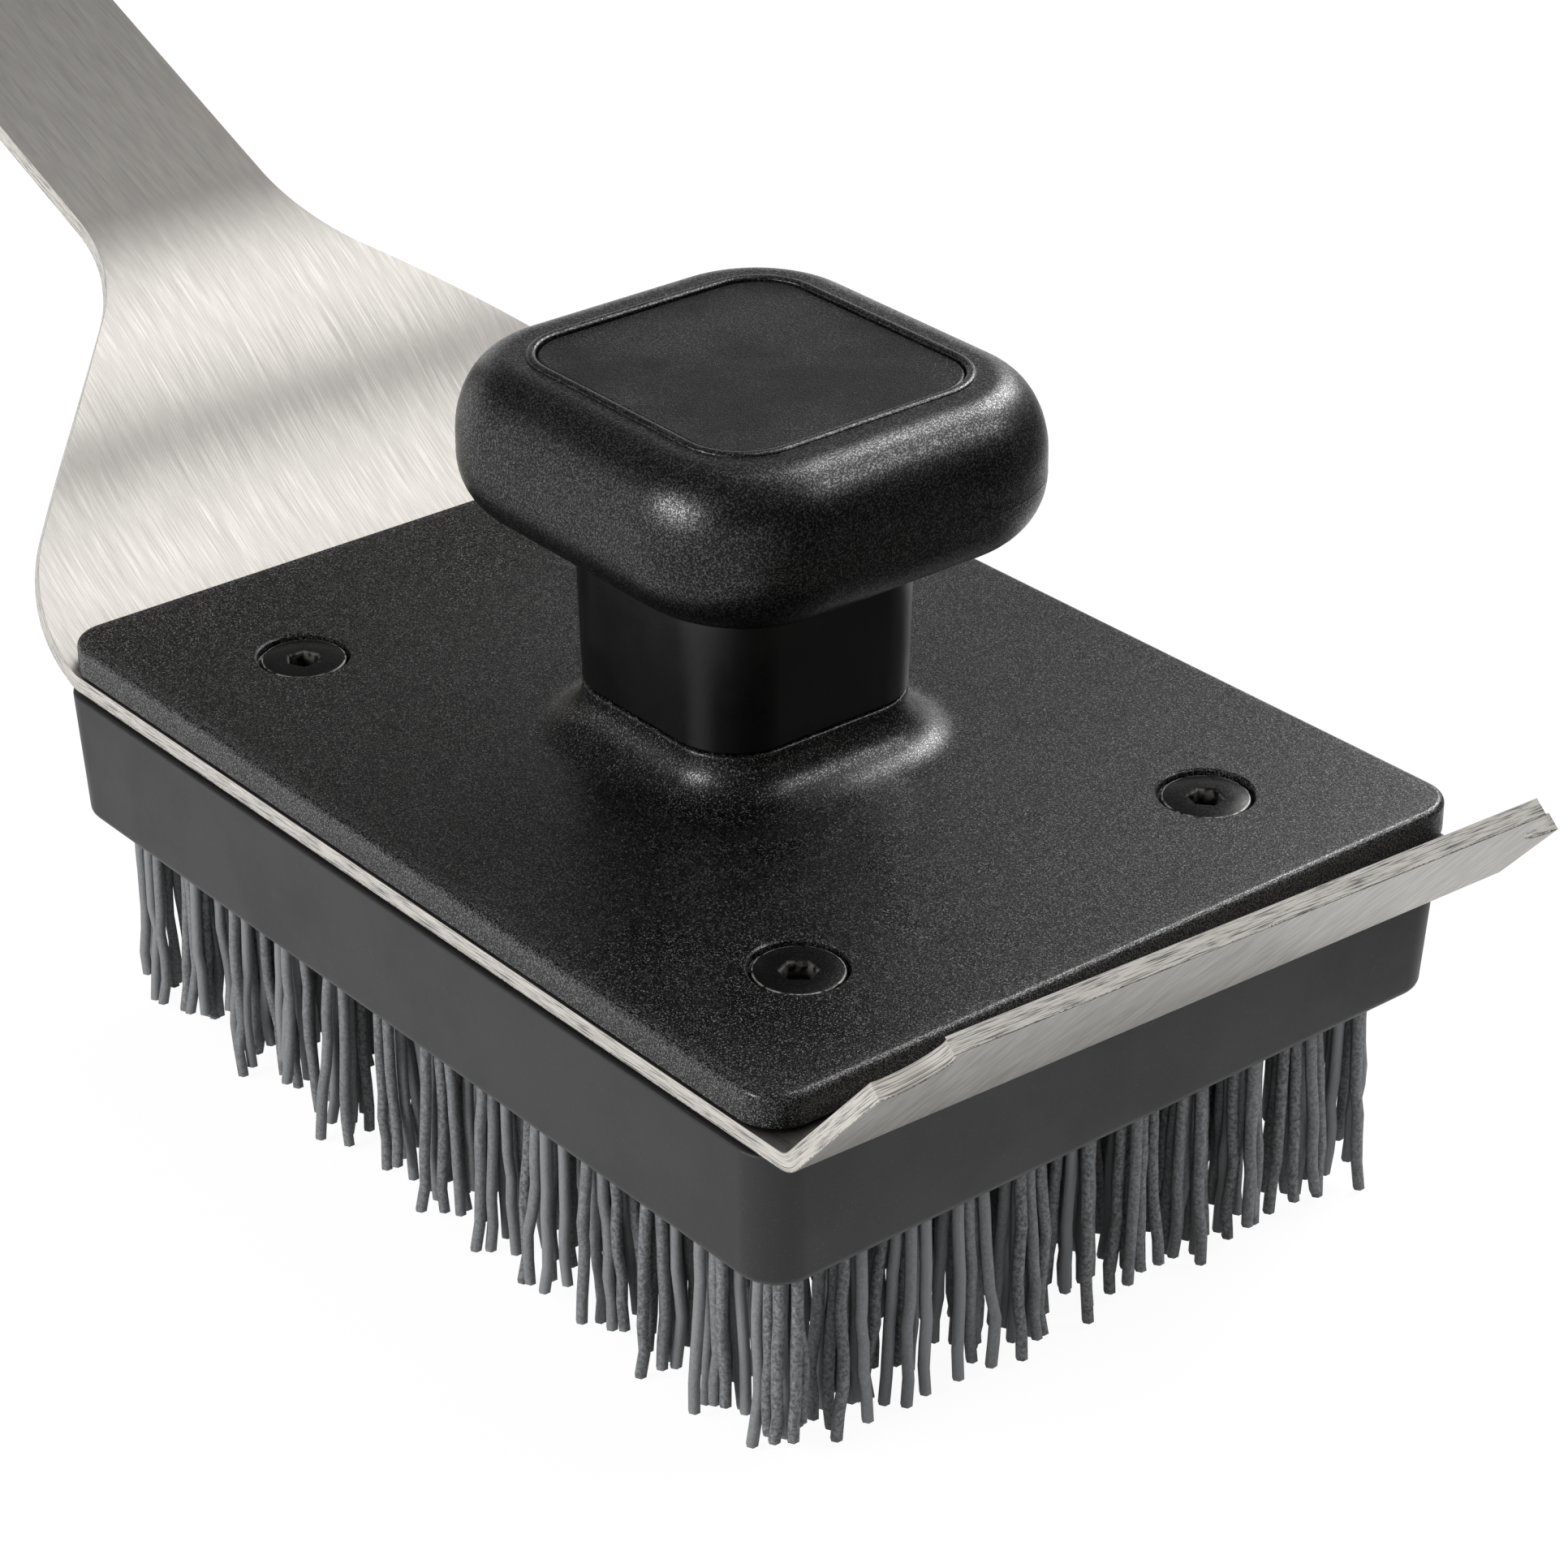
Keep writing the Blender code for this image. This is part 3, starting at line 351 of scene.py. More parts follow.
def loft(name, rings):
    """A closed mesh skinned over rings."""
    bm = bmesh.new()
    add_loft(bm, rings)
    return closed_mesh(bm, name)


def turned_cutters(name, cutters, points=48):
    """Round cutters in one mesh: steps of radius and height, at a place across and along each."""
    bm = bmesh.new()
    for steps, x, y in cutters:
        rings = [circle_ring(radius, z, points) for radius, z in steps]
        add_loft(bm, [[(px + x, py + y, pz) for px, py, pz in ring] for ring in rings])
    return closed_mesh(bm, name)


def new_object(name, data):
    """Put a mesh, a lamp or a camera in the scene."""
    obj = bpy.data.objects.new(name, data)
    bpy.context.scene.collection.objects.link(obj)
    return obj


def new_piece(name, rings):
    """An object skinned over rings."""
    return new_object(name, loft(name, rings))


def modify(obj, name, kind, **settings):
    """Add a modifier with its settings."""
    modifier = obj.modifiers.new(name, kind)
    for key, value in settings.items():
        setattr(modifier, key, value)
    return modifier


def settle(obj):
    """Turn an object with modifiers into a plain mesh."""
    graph = bpy.context.evaluated_depsgraph_get()
    mesh = bpy.data.meshes.new_from_object(obj.evaluated_get(graph), depsgraph=graph)
    obj.modifiers.clear()
    obj.data = mesh


def carve(obj, cutter_mesh):
    """Take a shape out of an object."""
    cutter = new_object("cutter", cutter_mesh)
    modify(obj, "carve", "BOOLEAN", operation="DIFFERENCE", solver="EXACT", object=cutter)
    settle(obj)
    bpy.data.objects.remove(cutter)


def mark_wear(mesh, rule=lambda point: 0.0):
    """Store how worn each point is: not at all, unless a rule tells."""
    wear = mesh.attributes.new("wear", "FLOAT", "POINT")
    wear.data.foreach_set("value", [rule(vertex.co) for vertex in mesh.vertices])


def dress(obj, *looks):
    """Give an object its materials."""
    obj.data.materials.clear()
    for look in looks:
        obj.data.materials.append(look)


def sharpen(mesh, crease):
    """Shade a mesh smooth, apart from its creases."""
    mesh.shade_smooth()
    mesh.set_sharp_from_angle(angle=math.radians(crease))


def smooth(obj, crease=32):
    """Shade round surfaces smooth and keep flats flat."""
    sharpen(obj.data, crease)
    modify(obj, "flats", "WEIGHTED_NORMAL", keep_sharp=True)
    settle(obj)


def place(obj, slot, *nodes):
    """Hand a finished piece to the frame, in place of the CAD nodes it stands for."""
    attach(obj, BODY)
    if nodes:
        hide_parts(*nodes)


def complete(obj, look, slot, *nodes):
    """Dress, shade and hand over a piece of one material."""
    dress(obj, look)
    smooth(obj)
    place(obj, slot, *nodes)


# Shader helpers

class Wiring:
    """Adds and joins the nodes of one tree."""

    def __init__(self, tree):
        self.tree = tree

    def add(self, kind, inputs=None, **settings):
        """A node with its settings, its inputs set to values or joined to sockets."""
        node = self.tree.nodes.new(kind)
        for key, value in settings.items():
            setattr(node, key, value)
        for key, value in (inputs or {}).items():
            self.feed(node.inputs[key], value)
        return node

    def feed(self, socket, value):
        """Give a socket a value, or join it to another node's output."""
        if isinstance(value, bpy.types.NodeSocket):
            self.tree.links.new(value, socket)
        else:
            socket.default_value = value

    def math(self, operation, first, second=0.5, clamp=False):
        """The result of a Math node."""
        node = self.add("ShaderNodeMath", {0: first, 1: second}, operation=operation, use_clamp=clamp)
        return node.outputs[0]

    def times(self, first, second):
        """The product of two values."""
        return self.math("MULTIPLY", first, second)

    def most(self, first, second):
        """The larger of two values."""
        return self.math("MAXIMUM", first, second)

    def arrow(self, operation, first, second):
        """The vector result of a Vector Math node, or of scaling a vector by a number."""
        key = "Scale" if operation == "SCALE" else 1
        return self.add("ShaderNodeVectorMath", {0: first, key: second}, operation=operation).outputs[0]

    def combine(self, x=0.0, y=0.0, z=0.0):
        """A vector from its three parts."""
        return self.add("ShaderNodeCombineXYZ", {0: x, 1: y, 2: z}).outputs[0]

    def split(self, vector):
        """The three parts of a vector."""
        return self.add("ShaderNodeSeparateXYZ", {0: vector}).outputs

    def remap(self, value, low, high, new_low=0.0, new_high=1.0):
        """A value stretched smoothly from one range to another."""
        inputs = {0: value, 1: low, 2: high, 3: new_low, 4: new_high}
        return self.add("ShaderNodeMapRange", inputs, interpolation_type="SMOOTHSTEP").outputs[0]

    def blend(self, factor, first, second):
        """Two colours mixed."""
        return self.add("ShaderNodeMix", {0: factor, 6: first, 7: second}, data_type="RGBA").outputs[2]

    def noise(self, vector, scale, detail=2.0, roughness=0.5):
        """Noise from 0 to 1."""
        inputs = {"Vector": vector, "Scale": scale, "Detail": detail, "Roughness": roughness}
        return self.add("ShaderNodeTexNoise", inputs).outputs[0]

    def attribute(self, name):
        """A number kept on the mesh."""
        return self.add("ShaderNodeAttribute", attribute_name=name).outputs["Fac"]


def shader_group(name, outputs, **inputs):
    """An empty shader group fed by a vector and by numbers, its wiring and its two ends."""
    tree = bpy.data.node_groups.new(name, "ShaderNodeTree")
    tree.interface.new_socket("Vector", in_out="INPUT", socket_type="NodeSocketVector")
    for socket, default in inputs.items():
        made = tree.interface.new_socket(socket, in_out="INPUT", socket_type="NodeSocketFloat")
        made.default_value = default
    for socket in outputs:
        tree.interface.new_socket(socket, in_out="OUTPUT", socket_type="NodeSocketFloat")
    wire = Wiring(tree)
    return wire, wire.add("NodeGroupInput").outputs, wire.add("NodeGroupOutput").inputs


def moulded_grain():
    """Leathery moulding grain: its height, a mask of its tops, and sparse specks on the highest ones, used
    as painted glints.
    """
    wire, source, sink = shader_group("moulded_grain", ("Height", "Tops", "Painted Glints and Specks"), grain_size=0.0003)
    scale = wire.math("DIVIDE", 1.0, source["grain_size"])
    cells = wire.add("ShaderNodeTexVoronoi", {"Vector": source["Vector"], "Scale": scale})
    fine = wire.noise(source["Vector"], wire.times(scale, 0.7), 2.0, 0.6)
    height = wire.math("ADD", wire.times(cells.outputs["Distance"], -0.55), fine)
    wire.feed(sink["Height"], height)
    wire.feed(sink["Tops"], wire.remap(height, 0.12, 0.46))
    wire.feed(sink["Painted Glints and Specks"], wire.remap(height, 0.38, 0.50))
    return wire.tree


def brush_lines():
    """Brushing marks that run along V: fine lines and the broader streaks between them."""
    wire, source, sink = shader_group(
        "brush_lines", ("Lines", "Streaks"),
        line_width=0.0002, line_length=0.012, streak_width=0.0011, streak_length=0.009,
    )
    for output, mark, detail in (("Lines", "line", 3.0), ("Streaks", "streak", 2.0)):
        across = wire.math("DIVIDE", 1.0, source[f"{mark}_width"])
        along = wire.math("DIVIDE", 1.0, source[f"{mark}_length"])
        stretched = wire.arrow("MULTIPLY", source["Vector"], wire.combine(across, along, 1.0))
        wire.feed(sink[output], wire.noise(stretched, 1.0, detail, 0.6))
    return wire.tree


def handling():
    """Soft blotches left by hands and cloths, and a sprinkle of dust specks."""
    wire, source, sink = shader_group("handling", ("Blotch", "Dust"))
    vector = source["Vector"]
    wire.feed(sink["Blotch"], wire.remap(wire.noise(vector, 45.0, 4.0, 0.6), 0.3, 0.7))
    specks = wire.noise(vector, 1500.0, 1.0, 0.4)
    patches = wire.remap(wire.noise(vector, 70.0, 2.0), 0.45, 0.7)
    wire.feed(sink["Dust"], wire.times(wire.remap(specks, 0.70, 0.78), patches))
    return wire.tree


def tone(base, factor):
    """A colour made lighter or darker, with full alpha."""
    return tuple(min(channel * factor, 1.0) for channel in base[:3]) + (1.0,)


class Look(Wiring):
    """A material in the making: its wiring, its shader and the object's own coordinates."""

    def __init__(self, name):
        self.material = bpy.data.materials.new(name)
        self.material.use_nodes = True
        super().__init__(self.material.node_tree)
        self.shader = self.tree.nodes["Principled BSDF"]
        self.coords = self.add("ShaderNodeTexCoord").outputs["Object"]

    def group(self, builder, vector, **inputs):
        """The outputs of a shared shader group, with this material's own values."""
        tree = bpy.data.node_groups.get(builder.__name__) or builder()
        return self.add("ShaderNodeGroup", {"Vector": vector, **inputs}, node_tree=tree).outputs

    def blank(self):
        """A point's place on the sheet's flat blank."""
        return self.add("ShaderNodeUVMap", uv_map="blank").outputs[0]

    def finish(self, inputs, height, strength, distance):
        """The material, with its shader's inputs and its relief."""
        relief = {"Strength": strength, "Distance": distance, "Height": height}
        inputs["Normal"] = self.add("ShaderNodeBump", relief).outputs[0]
        for name, value in inputs.items():
            self.feed(self.shader.inputs[name], value)
        return self.material


def grained_plastic(
    name, base, grain=0.00017, depth=0.00012, gloss=0.30, sheen=1.55, painted_glint=0.9, patchy=0.0
):
    """Black moulding with a fine leathery grain: painted shade in its pits, painted light and painted
    glints on its tops, a shiny coat on its tops, paler along worn edges.
    """
    look = Look(name)
    texture = look.group(moulded_grain, look.coords, grain_size=grain)
    touch = look.group(handling, look.coords)
    tops, blotch = texture["Tops"], touch["Blotch"]
    dulled = look.remap(blotch, 0.0, 1.0, 1.0, 1.0 - patchy)
    # Painted light and shade: the grain's pits get a near-black colour and its tops a lighter one, standing
    # in for the shading of the relief.
    body = look.blend(tops, tone(base, 0.1), tone(base, 1.6))
    # Painted glints: the specks on the grain's highest tops get a far lighter colour, standing in for
    # highlights.
    body = look.blend(look.times(look.times(texture["Painted Glints and Specks"], painted_glint), dulled), body, tone(base, 40.0))
    body = look.blend(look.times(look.attribute("wear"), tops), body, tone(base, 15.0))
    body = look.blend(look.times(touch["Dust"], 0.35), body, tone(base, 11.0))
    return look.finish({
        "Base Color": body, "Roughness": look.remap(blotch, 0.0, 1.0, gloss - 0.04, gloss + 0.08),
        "Coat Weight": look.times(look.remap(tops, 0.0, 1.0, 0.12, 1.0), dulled),
        "Coat Roughness": gloss, "Coat IOR": sheen, "Specular IOR Level": 0.12,
    }, texture["Height"], strength=0.5, distance=depth)


def smooth_plastic(name, base, gloss, specular):
    """Smooth moulding with faint flow marks and handling blotches."""
    look = Look(name)
    touch = look.group(handling, look.coords)
    texture = look.group(moulded_grain, look.coords, grain_size=0.00035)
    body = look.blend(touch["Blotch"], tone(base, 0.9), tone(base, 1.12))
    # Light specks: the grain's highest tops, partly painted glints, and dust.
    for specks in (texture["Painted Glints and Specks"], touch["Dust"]):
        body = look.blend(look.times(specks, 0.25), body, tone(base, 4.0))
    return look.finish({
        "Base Color": body, "Roughness": look.remap(touch["Blotch"], 0.0, 1.0, gloss, gloss + 0.1),
        "Specular IOR Level": specular,
    }, texture["Height"], strength=0.16, distance=0.00004)


def brushed_steel(name, base, streak_depth=0.00003, gloss=0.37, dark=0.93):
    """Steel sheet brushed along its length, read from the flat blank's own map."""
    look = Look(name)
    marks = look.group(brush_lines, look.blank())
    lines, streaks = marks["Lines"], marks["Streaks"]
    shade = look.blend(look.remap(lines, 0.3, 0.7), tone(base, dark), tone(base, 1.05))
    shade = look.blend(look.remap(streaks, 0.35, 0.7), shade, tone(base, 1.10))
    across = look.add("ShaderNodeTangent", direction_type="UV_MAP", uv_map="blank")
    return look.finish({
        "Base Color": shade, "Roughness": look.remap(lines, 0.25, 0.75, gloss - 0.05, gloss + 0.09),
        "Metallic": 1.0, "Anisotropic": 0.5, "Tangent": across.outputs[0],
    }, look.math("ADD", look.times(lines, 0.16), streaks), strength=0.5, distance=streak_depth)


def ground_edge(name, base):
    """Cut edge of the sheet: lengthwise grinding marks, bright partly from the ground finish and partly as
    painted light, with dark burrs along both sides.
    """
    look = Look(name)
    burr_dark = (0.10, 0.095, 0.085, 1.0)
    depth = look.attribute("sheet_depth")
    spot = look.split(look.blank())
    along = look.times(look.math("ADD", spot[0], spot[1]), 190.0)
    lines = look.noise(look.combine(along, look.times(depth, 14.0)), 1.0, 3.0, 0.65)
    ragged = look.times(look.math("SUBTRACT", look.noise(look.coords, 2200.0, 3.0, 0.7), 0.5), 0.3)
    burr = look.remap(look.math("ADD", depth, ragged), 0.93, 1.0)
    # The bright grinding lines are partly painted light.
    shade = look.blend(look.remap(lines, 0.33, 0.55), tone(base, 0.28), tone(base, 1.35))
    return look.finish({
        "Base Color": look.blend(burr, shade, burr_dark),
        "Roughness": look.remap(lines, 0.2, 0.8, 0.34, 0.52), "Metallic": 0.2,
    }, lines, strength=0.45, distance=0.00003)


def turned_metal(name, base, gloss):
    """Plain machined metal with fine tool marks and a little tarnish."""
    look = Look(name)
    blotch = look.group(handling, look.coords)["Blotch"]
    marks = look.add("ShaderNodeMapping", {"Vector": look.coords, "Scale": (0.2, 0.2, 1.0)})
    lines = look.noise(marks.outputs[0], 3000.0, 3.0, 0.6)
    return look.finish({
        "Base Color": look.blend(blotch, tone(base, 0.82), tone(base, 1.06)),
        "Roughness": look.remap(lines, 0.2, 0.8, gloss - 0.06, gloss + 0.1), "Metallic": 1.0,
    }, lines, strength=0.25, distance=0.00001)


def black_oxide(name, base):
    """Blackened screw steel, rubbed paler in places."""
    look = Look(name)
    bare_steel = (0.34, 0.33, 0.31, 1.0)
    blotch = look.group(handling, look.coords)["Blotch"]
    texture = look.group(moulded_grain, look.coords, grain_size=0.00025)
    shade = look.blend(blotch, tone(base, 0.8), tone(base, 1.5))
    rubbed = look.remap(look.noise(look.coords, 900.0, 2.0), 0.35, 0.6)
    return look.finish({
        "Base Color": look.blend(look.times(look.attribute("wear"), rubbed), shade, bare_steel),
        "Roughness": look.remap(texture["Tops"], 0.0, 1.0, 0.26, 0.40),
        "Metallic": 0.1, "Specular IOR Level": 0.12,
    }, texture["Height"], strength=0.25, distance=0.00002)


def grit_nylon(name, base):
    """Dull bristle nylon full of grit, each strand with its own tone."""
    look = Look(name)
    grit = look.noise(look.coords, 1900.0, 3.0, 0.75)
    shade = look.blend(look.remap(grit, 0.35, 0.65), tone(base, 0.45), tone(base, 1.45))
    shade = look.blend(look.attribute("strand_tone"), shade, tone(base, 1.55))
    return look.finish({
        "Base Color": look.blend(look.remap(grit, 0.66, 0.78), shade, tone(base, 2.4)),
        "Roughness": look.remap(grit, 0.2, 0.8, 0.55, 0.8), "Specular IOR Level": 0.25,
    }, grit, strength=0.8, distance=0.00016)


# Steel plate

class BentSheet:
    """The sheet's folding rule: from the flat blank to its bent place, and back."""

    def __init__(self, plate, head):
        self.plate = plate
        self.half = head.width / 2
        self.top = COVER_LOW.z - SEAT_GAP
        self.fold_y = -head.length / 2 - plate.lip_margin
        self.lip_arc = plate.lip_bend * plate.lip_angle
        self.front_y = self.fold_y - (self.lip_arc + plate.lip_height) / math.cos(plate.lip_skew)
        self.along = Vector((math.cos(plate.lip_skew), -math.sin(plate.lip_skew), 0))
        self.ahead = Vector((-math.sin(plate.lip_skew), -math.cos(plate.lip_skew), 0))
        self.fold = Vector((0, self.fold_y, self.top))
        self.rise_y = head.length / 2 - plate.kink_inset
        climb = plate.rise_angle - plate.kink_angle
        fall = plate.rise_angle - plate.handle_angle
        self.bends = (
            (plate.kink_bend * plate.kink_angle, 0.0, plate.kink_angle),
            (plate.rise_bend * climb, plate.kink_angle, plate.rise_angle),
            (plate.rise_length, plate.rise_angle, plate.rise_angle),
            (plate.handle_bend * fall, plate.rise_angle, plate.handle_angle),
        )
        self.handle_run = sum(length for length, _, _ in self.bends)
        self.run = self.handle_run + plate.handle_length

    def front_edge(self, x):
        """The blank's front edge."""
        return self.front_y + math.tan(self.plate.edge_skew) * x

    def lip_row(self, x, distance):
        """The blank's y at a distance beyond the fold line."""
        skew = self.plate.lip_skew
        return self.fold_y - (distance + math.sin(skew) * x) / math.cos(skew)

    def profile(self, run):
        """Backward and upward travel along the rear bends, and the slope there."""
        back = up = 0.0
        for length, start, end in self.bends:
            part = min(run, length)
            half_turn = (end - start) / 2 * part / length
            chord = part * (math.sin(half_turn) / half_turn if half_turn else 1.0)
            back += chord * math.cos(start + half_turn)
            up += chord * math.sin(start + half_turn)
            slope = start + 2 * half_turn
            run -= part
            if run <= 0:
                break
        return back + run * math.cos(slope), up + run * math.sin(slope), slope

    def bend(self, x, y):
        """Where a point of the blank lies on the bent sheet's upper face."""
        plate = self.plate
        distance = (Vector((x, y, self.top)) - self.fold).dot(self.ahead)
        if distance > 0:
            turn = min(distance / plate.lip_bend, plate.lip_angle)
            straight = max(distance - self.lip_arc, 0)
            forward = plate.lip_bend * math.sin(turn) + straight * math.cos(turn)
            upward = plate.lip_bend * (1 - math.cos(turn)) + straight * math.sin(turn)
            return Vector((x, y, self.top + upward)) + self.ahead * (forward - distance)
        if y > self.rise_y:
            back, up, _ = self.profile(y - self.rise_y)
            return Vector((x, self.rise_y + back, self.top + up))
        return Vector((x, y, self.top))

    def unbend(self, point):
        """A bent point's place on the flat blank, and how deep it lies in the sheet."""
        offset = point - self.fold
        forward = offset.dot(self.ahead)
        if forward > 0:
            run, depth = self.unroll_lip(forward, offset.z)
            flat = self.fold + self.along * offset.dot(self.along) + self.ahead * run
            return flat.x, flat.y, depth
        if point.y > self.rise_y:
            run, depth = self.unroll_rise(point.y - self.rise_y, point.z - self.top)
            return point.x, self.rise_y + run, depth
        return point.x, point.y, self.top - point.z

    def unroll_lip(self, forward, up):
        """Run and depth of a point on the lip."""
        plate = self.plate
        turn = math.atan2(forward, plate.lip_bend - up)
        if 0 <= turn < plate.lip_angle:
            return plate.lip_bend * turn, math.hypot(forward, plate.lip_bend - up) - plate.lip_bend
        forward -= plate.lip_bend * math.sin(plate.lip_angle)
        up -= plate.lip_bend * (1 - math.cos(plate.lip_angle))
        sine, cosine = math.sin(plate.lip_angle), math.cos(plate.lip_angle)
        return self.lip_arc + forward * cosine + up * sine, forward * sine - up * cosine

    def unroll_rise(self, back, up):
        """Run and depth of a point on the rear bends or the handle, closed in on step by step."""
        run = back
        rounds, stride = 16, 0.6
        for _ in range(rounds):
            foot_back, foot_up, slope = self.profile(max(run, 0.0))
            sine, cosine = math.sin(slope), math.cos(slope)
            run += stride * ((back - foot_back) * cosine + (up - foot_up) * sine)
        return run, (back - foot_back) * sine - (up - foot_up) * cosine

    def flare(self):
        """Runs where the flare's shoulder and neck arcs begin and end."""
        plate = self.plate
        reach = math.tan(plate.flare_angle / 2)
        end = plate.flare_start + (self.half - plate.handle_width / 2) / math.tan(plate.flare_angle)
        shoulder = plate.flare_shoulder * reach
        neck = plate.flare_neck * reach
        slant = math.cos(plate.flare_angle)
        start = plate.flare_start
        return start - shoulder, start + shoulder * slant, end - neck * slant, end + neck

    def half_width(self, run):
        """Half the blank's width at a run behind the head."""
        plate = self.plate
        shoulder_start, shoulder_end, neck_start, neck_end = self.flare()
        narrow = plate.handle_width / 2
        over = run - (self.run - plate.handle_end)
        if over > 0:
            return narrow - plate.handle_end + math.sqrt(max(plate.handle_end**2 - over**2, 0))
        if run > neck_start:
            left = max(neck_end - run, 0)
            return narrow + plate.flare_neck - math.sqrt(plate.flare_neck**2 - left**2)
        if run > shoulder_end:
            return self.half - (run - plate.flare_start) * math.tan(plate.flare_angle)
        gone = max(run - shoulder_start, 0)
        return self.half - plate.flare_shoulder + math.sqrt(plate.flare_shoulder**2 - gone**2)

    def rows(self):
        """Rows of the blank, front to back, each as a function from u (-1 to 1) to x and y."""
        half = self.half
        rows = [lambda u: (half * u, self.front_edge(half * u))]
        steps = 14
        for step in range(steps, -1, -1):
            distance = self.lip_arc * step / steps
            rows.append(lambda u, d=distance: (half * u, self.lip_row(half * u, d)))
        for run in self.rear_runs():
            rows.append(lambda u, r=run: (self.half_width(r) * u, self.rise_y + r))
        return rows

    def rear_runs(self):
        """Runs of the rows behind the head, close together where the sheet bends or narrows."""
        kink = self.bends[0][0]
        neck_end = max(self.flare()[3], self.handle_run)
        close = 0.0012
        wide = 0.012
        runs = [kink * step / 8 for step in range(8)]
        runs += [kink + close * step for step in range(int((neck_end - kink) / close) + 1)]
        last = self.run - self.plate.handle_end
        runs += [neck_end + wide * step for step in range(1, int((last - neck_end) / wide) + 1)]
        runs += [self.run - self.plate.handle_end * (1 - sine) for sine, _ in quarter(12)]
        return [run for i, run in enumerate(runs) if i == 0 or run - runs[i - 1] > close / 8]


class BRUSH_OT_steel_plate(bpy.types.Operator):
    """Build the bent steel plate with its scraper lip and handle"""

    bl_idname = "brush.steel_plate"
    bl_label = "Steel Plate"

    def execute(self, context):
        scene = context.scene
        plate = scene.brush_plate
        finish = scene.brush_finish
        sheet = BentSheet(plate, scene.brush_head)
        obj = new_object("brushed_plate", self.skin(sheet))
        modify(obj, "sheet", "SOLIDIFY", thickness=plate.thickness, offset=-1, use_even_offset=True)
        modify(
            obj, "edges", "BEVEL", width=plate.edge_break, segments=2,
            limit_method="ANGLE", angle_limit=math.radians(60),
        )
        settle(obj)
        carve(obj, self.cutters(sheet))
        face = brushed_steel("brushed_steel", finish.steel)
        # The lip's outer face is a darker copy of the sheet's steel: painted shade.
        painted_shade_steel = tone(finish.steel, 0.76)
        lip = brushed_steel("lip_steel", painted_shade_steel, streak_depth=0.00001, gloss=0.40, dark=0.62)
        dress(obj, face, lip, ground_edge("ground_edge", finish.cut_edge))
        self.map_blank(obj.data, sheet)
        smooth(obj, crease=40)
        place(obj, "plate_steel", "steel_plate")
        return {"FINISHED"}

    @staticmethod
    def skin(sheet):
        """The upper face as a grid of rows."""
        columns = 40
        bm = bmesh.new()
        grid = []
        for row in sheet.rows():
            grid.append([bm.verts.new(sheet.bend(*row(2 * i / columns - 1))) for i in range(columns + 1)])
        for near, far in zip(grid, grid[1:]):
            for i in range(columns):
                bm.faces.new((near[i], near[i + 1], far[i + 1], far[i]))
        return plain_mesh(bm, "brushed_plate")

    @staticmethod
    def cutters(sheet):
        """The notch, the scoop and the hanging hole."""
        plate = sheet.plate
        bm = bmesh.new()
        lip_foot = sheet.bend(0, sheet.lip_row(0, sheet.lip_arc))
        up_lip = (sheet.bend(0, sheet.front_y) - lip_foot).normalized()
        through = sheet.along.cross(up_lip)
        depth = 2 * plate.thickness
        notch = (-1, plate.notch_radius, plate.notch_inset, plate.notch_drop)
        scoop = (1, plate.scoop_radius, 0, 0)
        for side, radius, inset, drop in (notch, scoop):
            edge = side * sheet.half
            centre = sheet.bend(edge - side * inset, sheet.front_edge(edge) + drop)
            outline = [sheet.bend(edge, sheet.front_edge(edge)) + (sheet.along * side + up_lip) * radius]
            for x, y, _ in circle_ring(radius, 0, points=72):
                outline.append(centre + sheet.along * x + up_lip * y)
            verts = [bm.verts.new(p + through * d) for d in (-depth, depth) for p in outline]
            hull = bmesh.ops.convex_hull(bm, input=verts)
            spare = [item for item in hull["geom_interior"] if isinstance(item, bmesh.types.BMVert)]
            bmesh.ops.delete(bm, geom=spare, context="VERTS")
        centre = sheet.bend(0, sheet.rise_y + sheet.run - plate.hang_inset)
        turn = Matrix.Translation(centre) @ Matrix.Rotation(plate.handle_angle, 4, "X")
        bore = [circle_ring(plate.hang_radius, z, points=64) for z in (-depth, depth)]
        add_loft(bm, [[turn @ Vector(point) for point in ring] for ring in bore])
        return closed_mesh(bm, "plate_cutters")

    @staticmethod
    def map_blank(mesh, sheet):
        """Store each point's place on the flat blank, and sort the faces by finish."""
        thickness = sheet.plate.thickness
        lip_end = sheet.fold_y + 0.003
        edge_depth = thickness * 0.3
        flat = [sheet.unbend(vertex.co) for vertex in mesh.vertices]
        depth = mesh.attributes.new("sheet_depth", "FLOAT", "POINT")
        depth.data.foreach_set("value", [spot[2] / thickness for spot in flat])
        for layer in list(mesh.uv_layers):
            mesh.uv_layers.remove(layer)
        layer = mesh.uv_layers.new(name="blank")
        for loop in mesh.loops:
            layer.data[loop.index].uv = flat[loop.vertex_index][:2]
        face, lip, edge = 0, 1, 2
        for polygon in mesh.polygons:
            depths = [flat[i][2] for i in polygon.vertices]
            if max(depths) - min(depths) > edge_depth:
                polygon.material_index = edge
            elif depths[0] > thickness / 2 and polygon.center.y < lip_end:
                polygon.material_index = lip
            else:
                polygon.material_index = face


# Cover

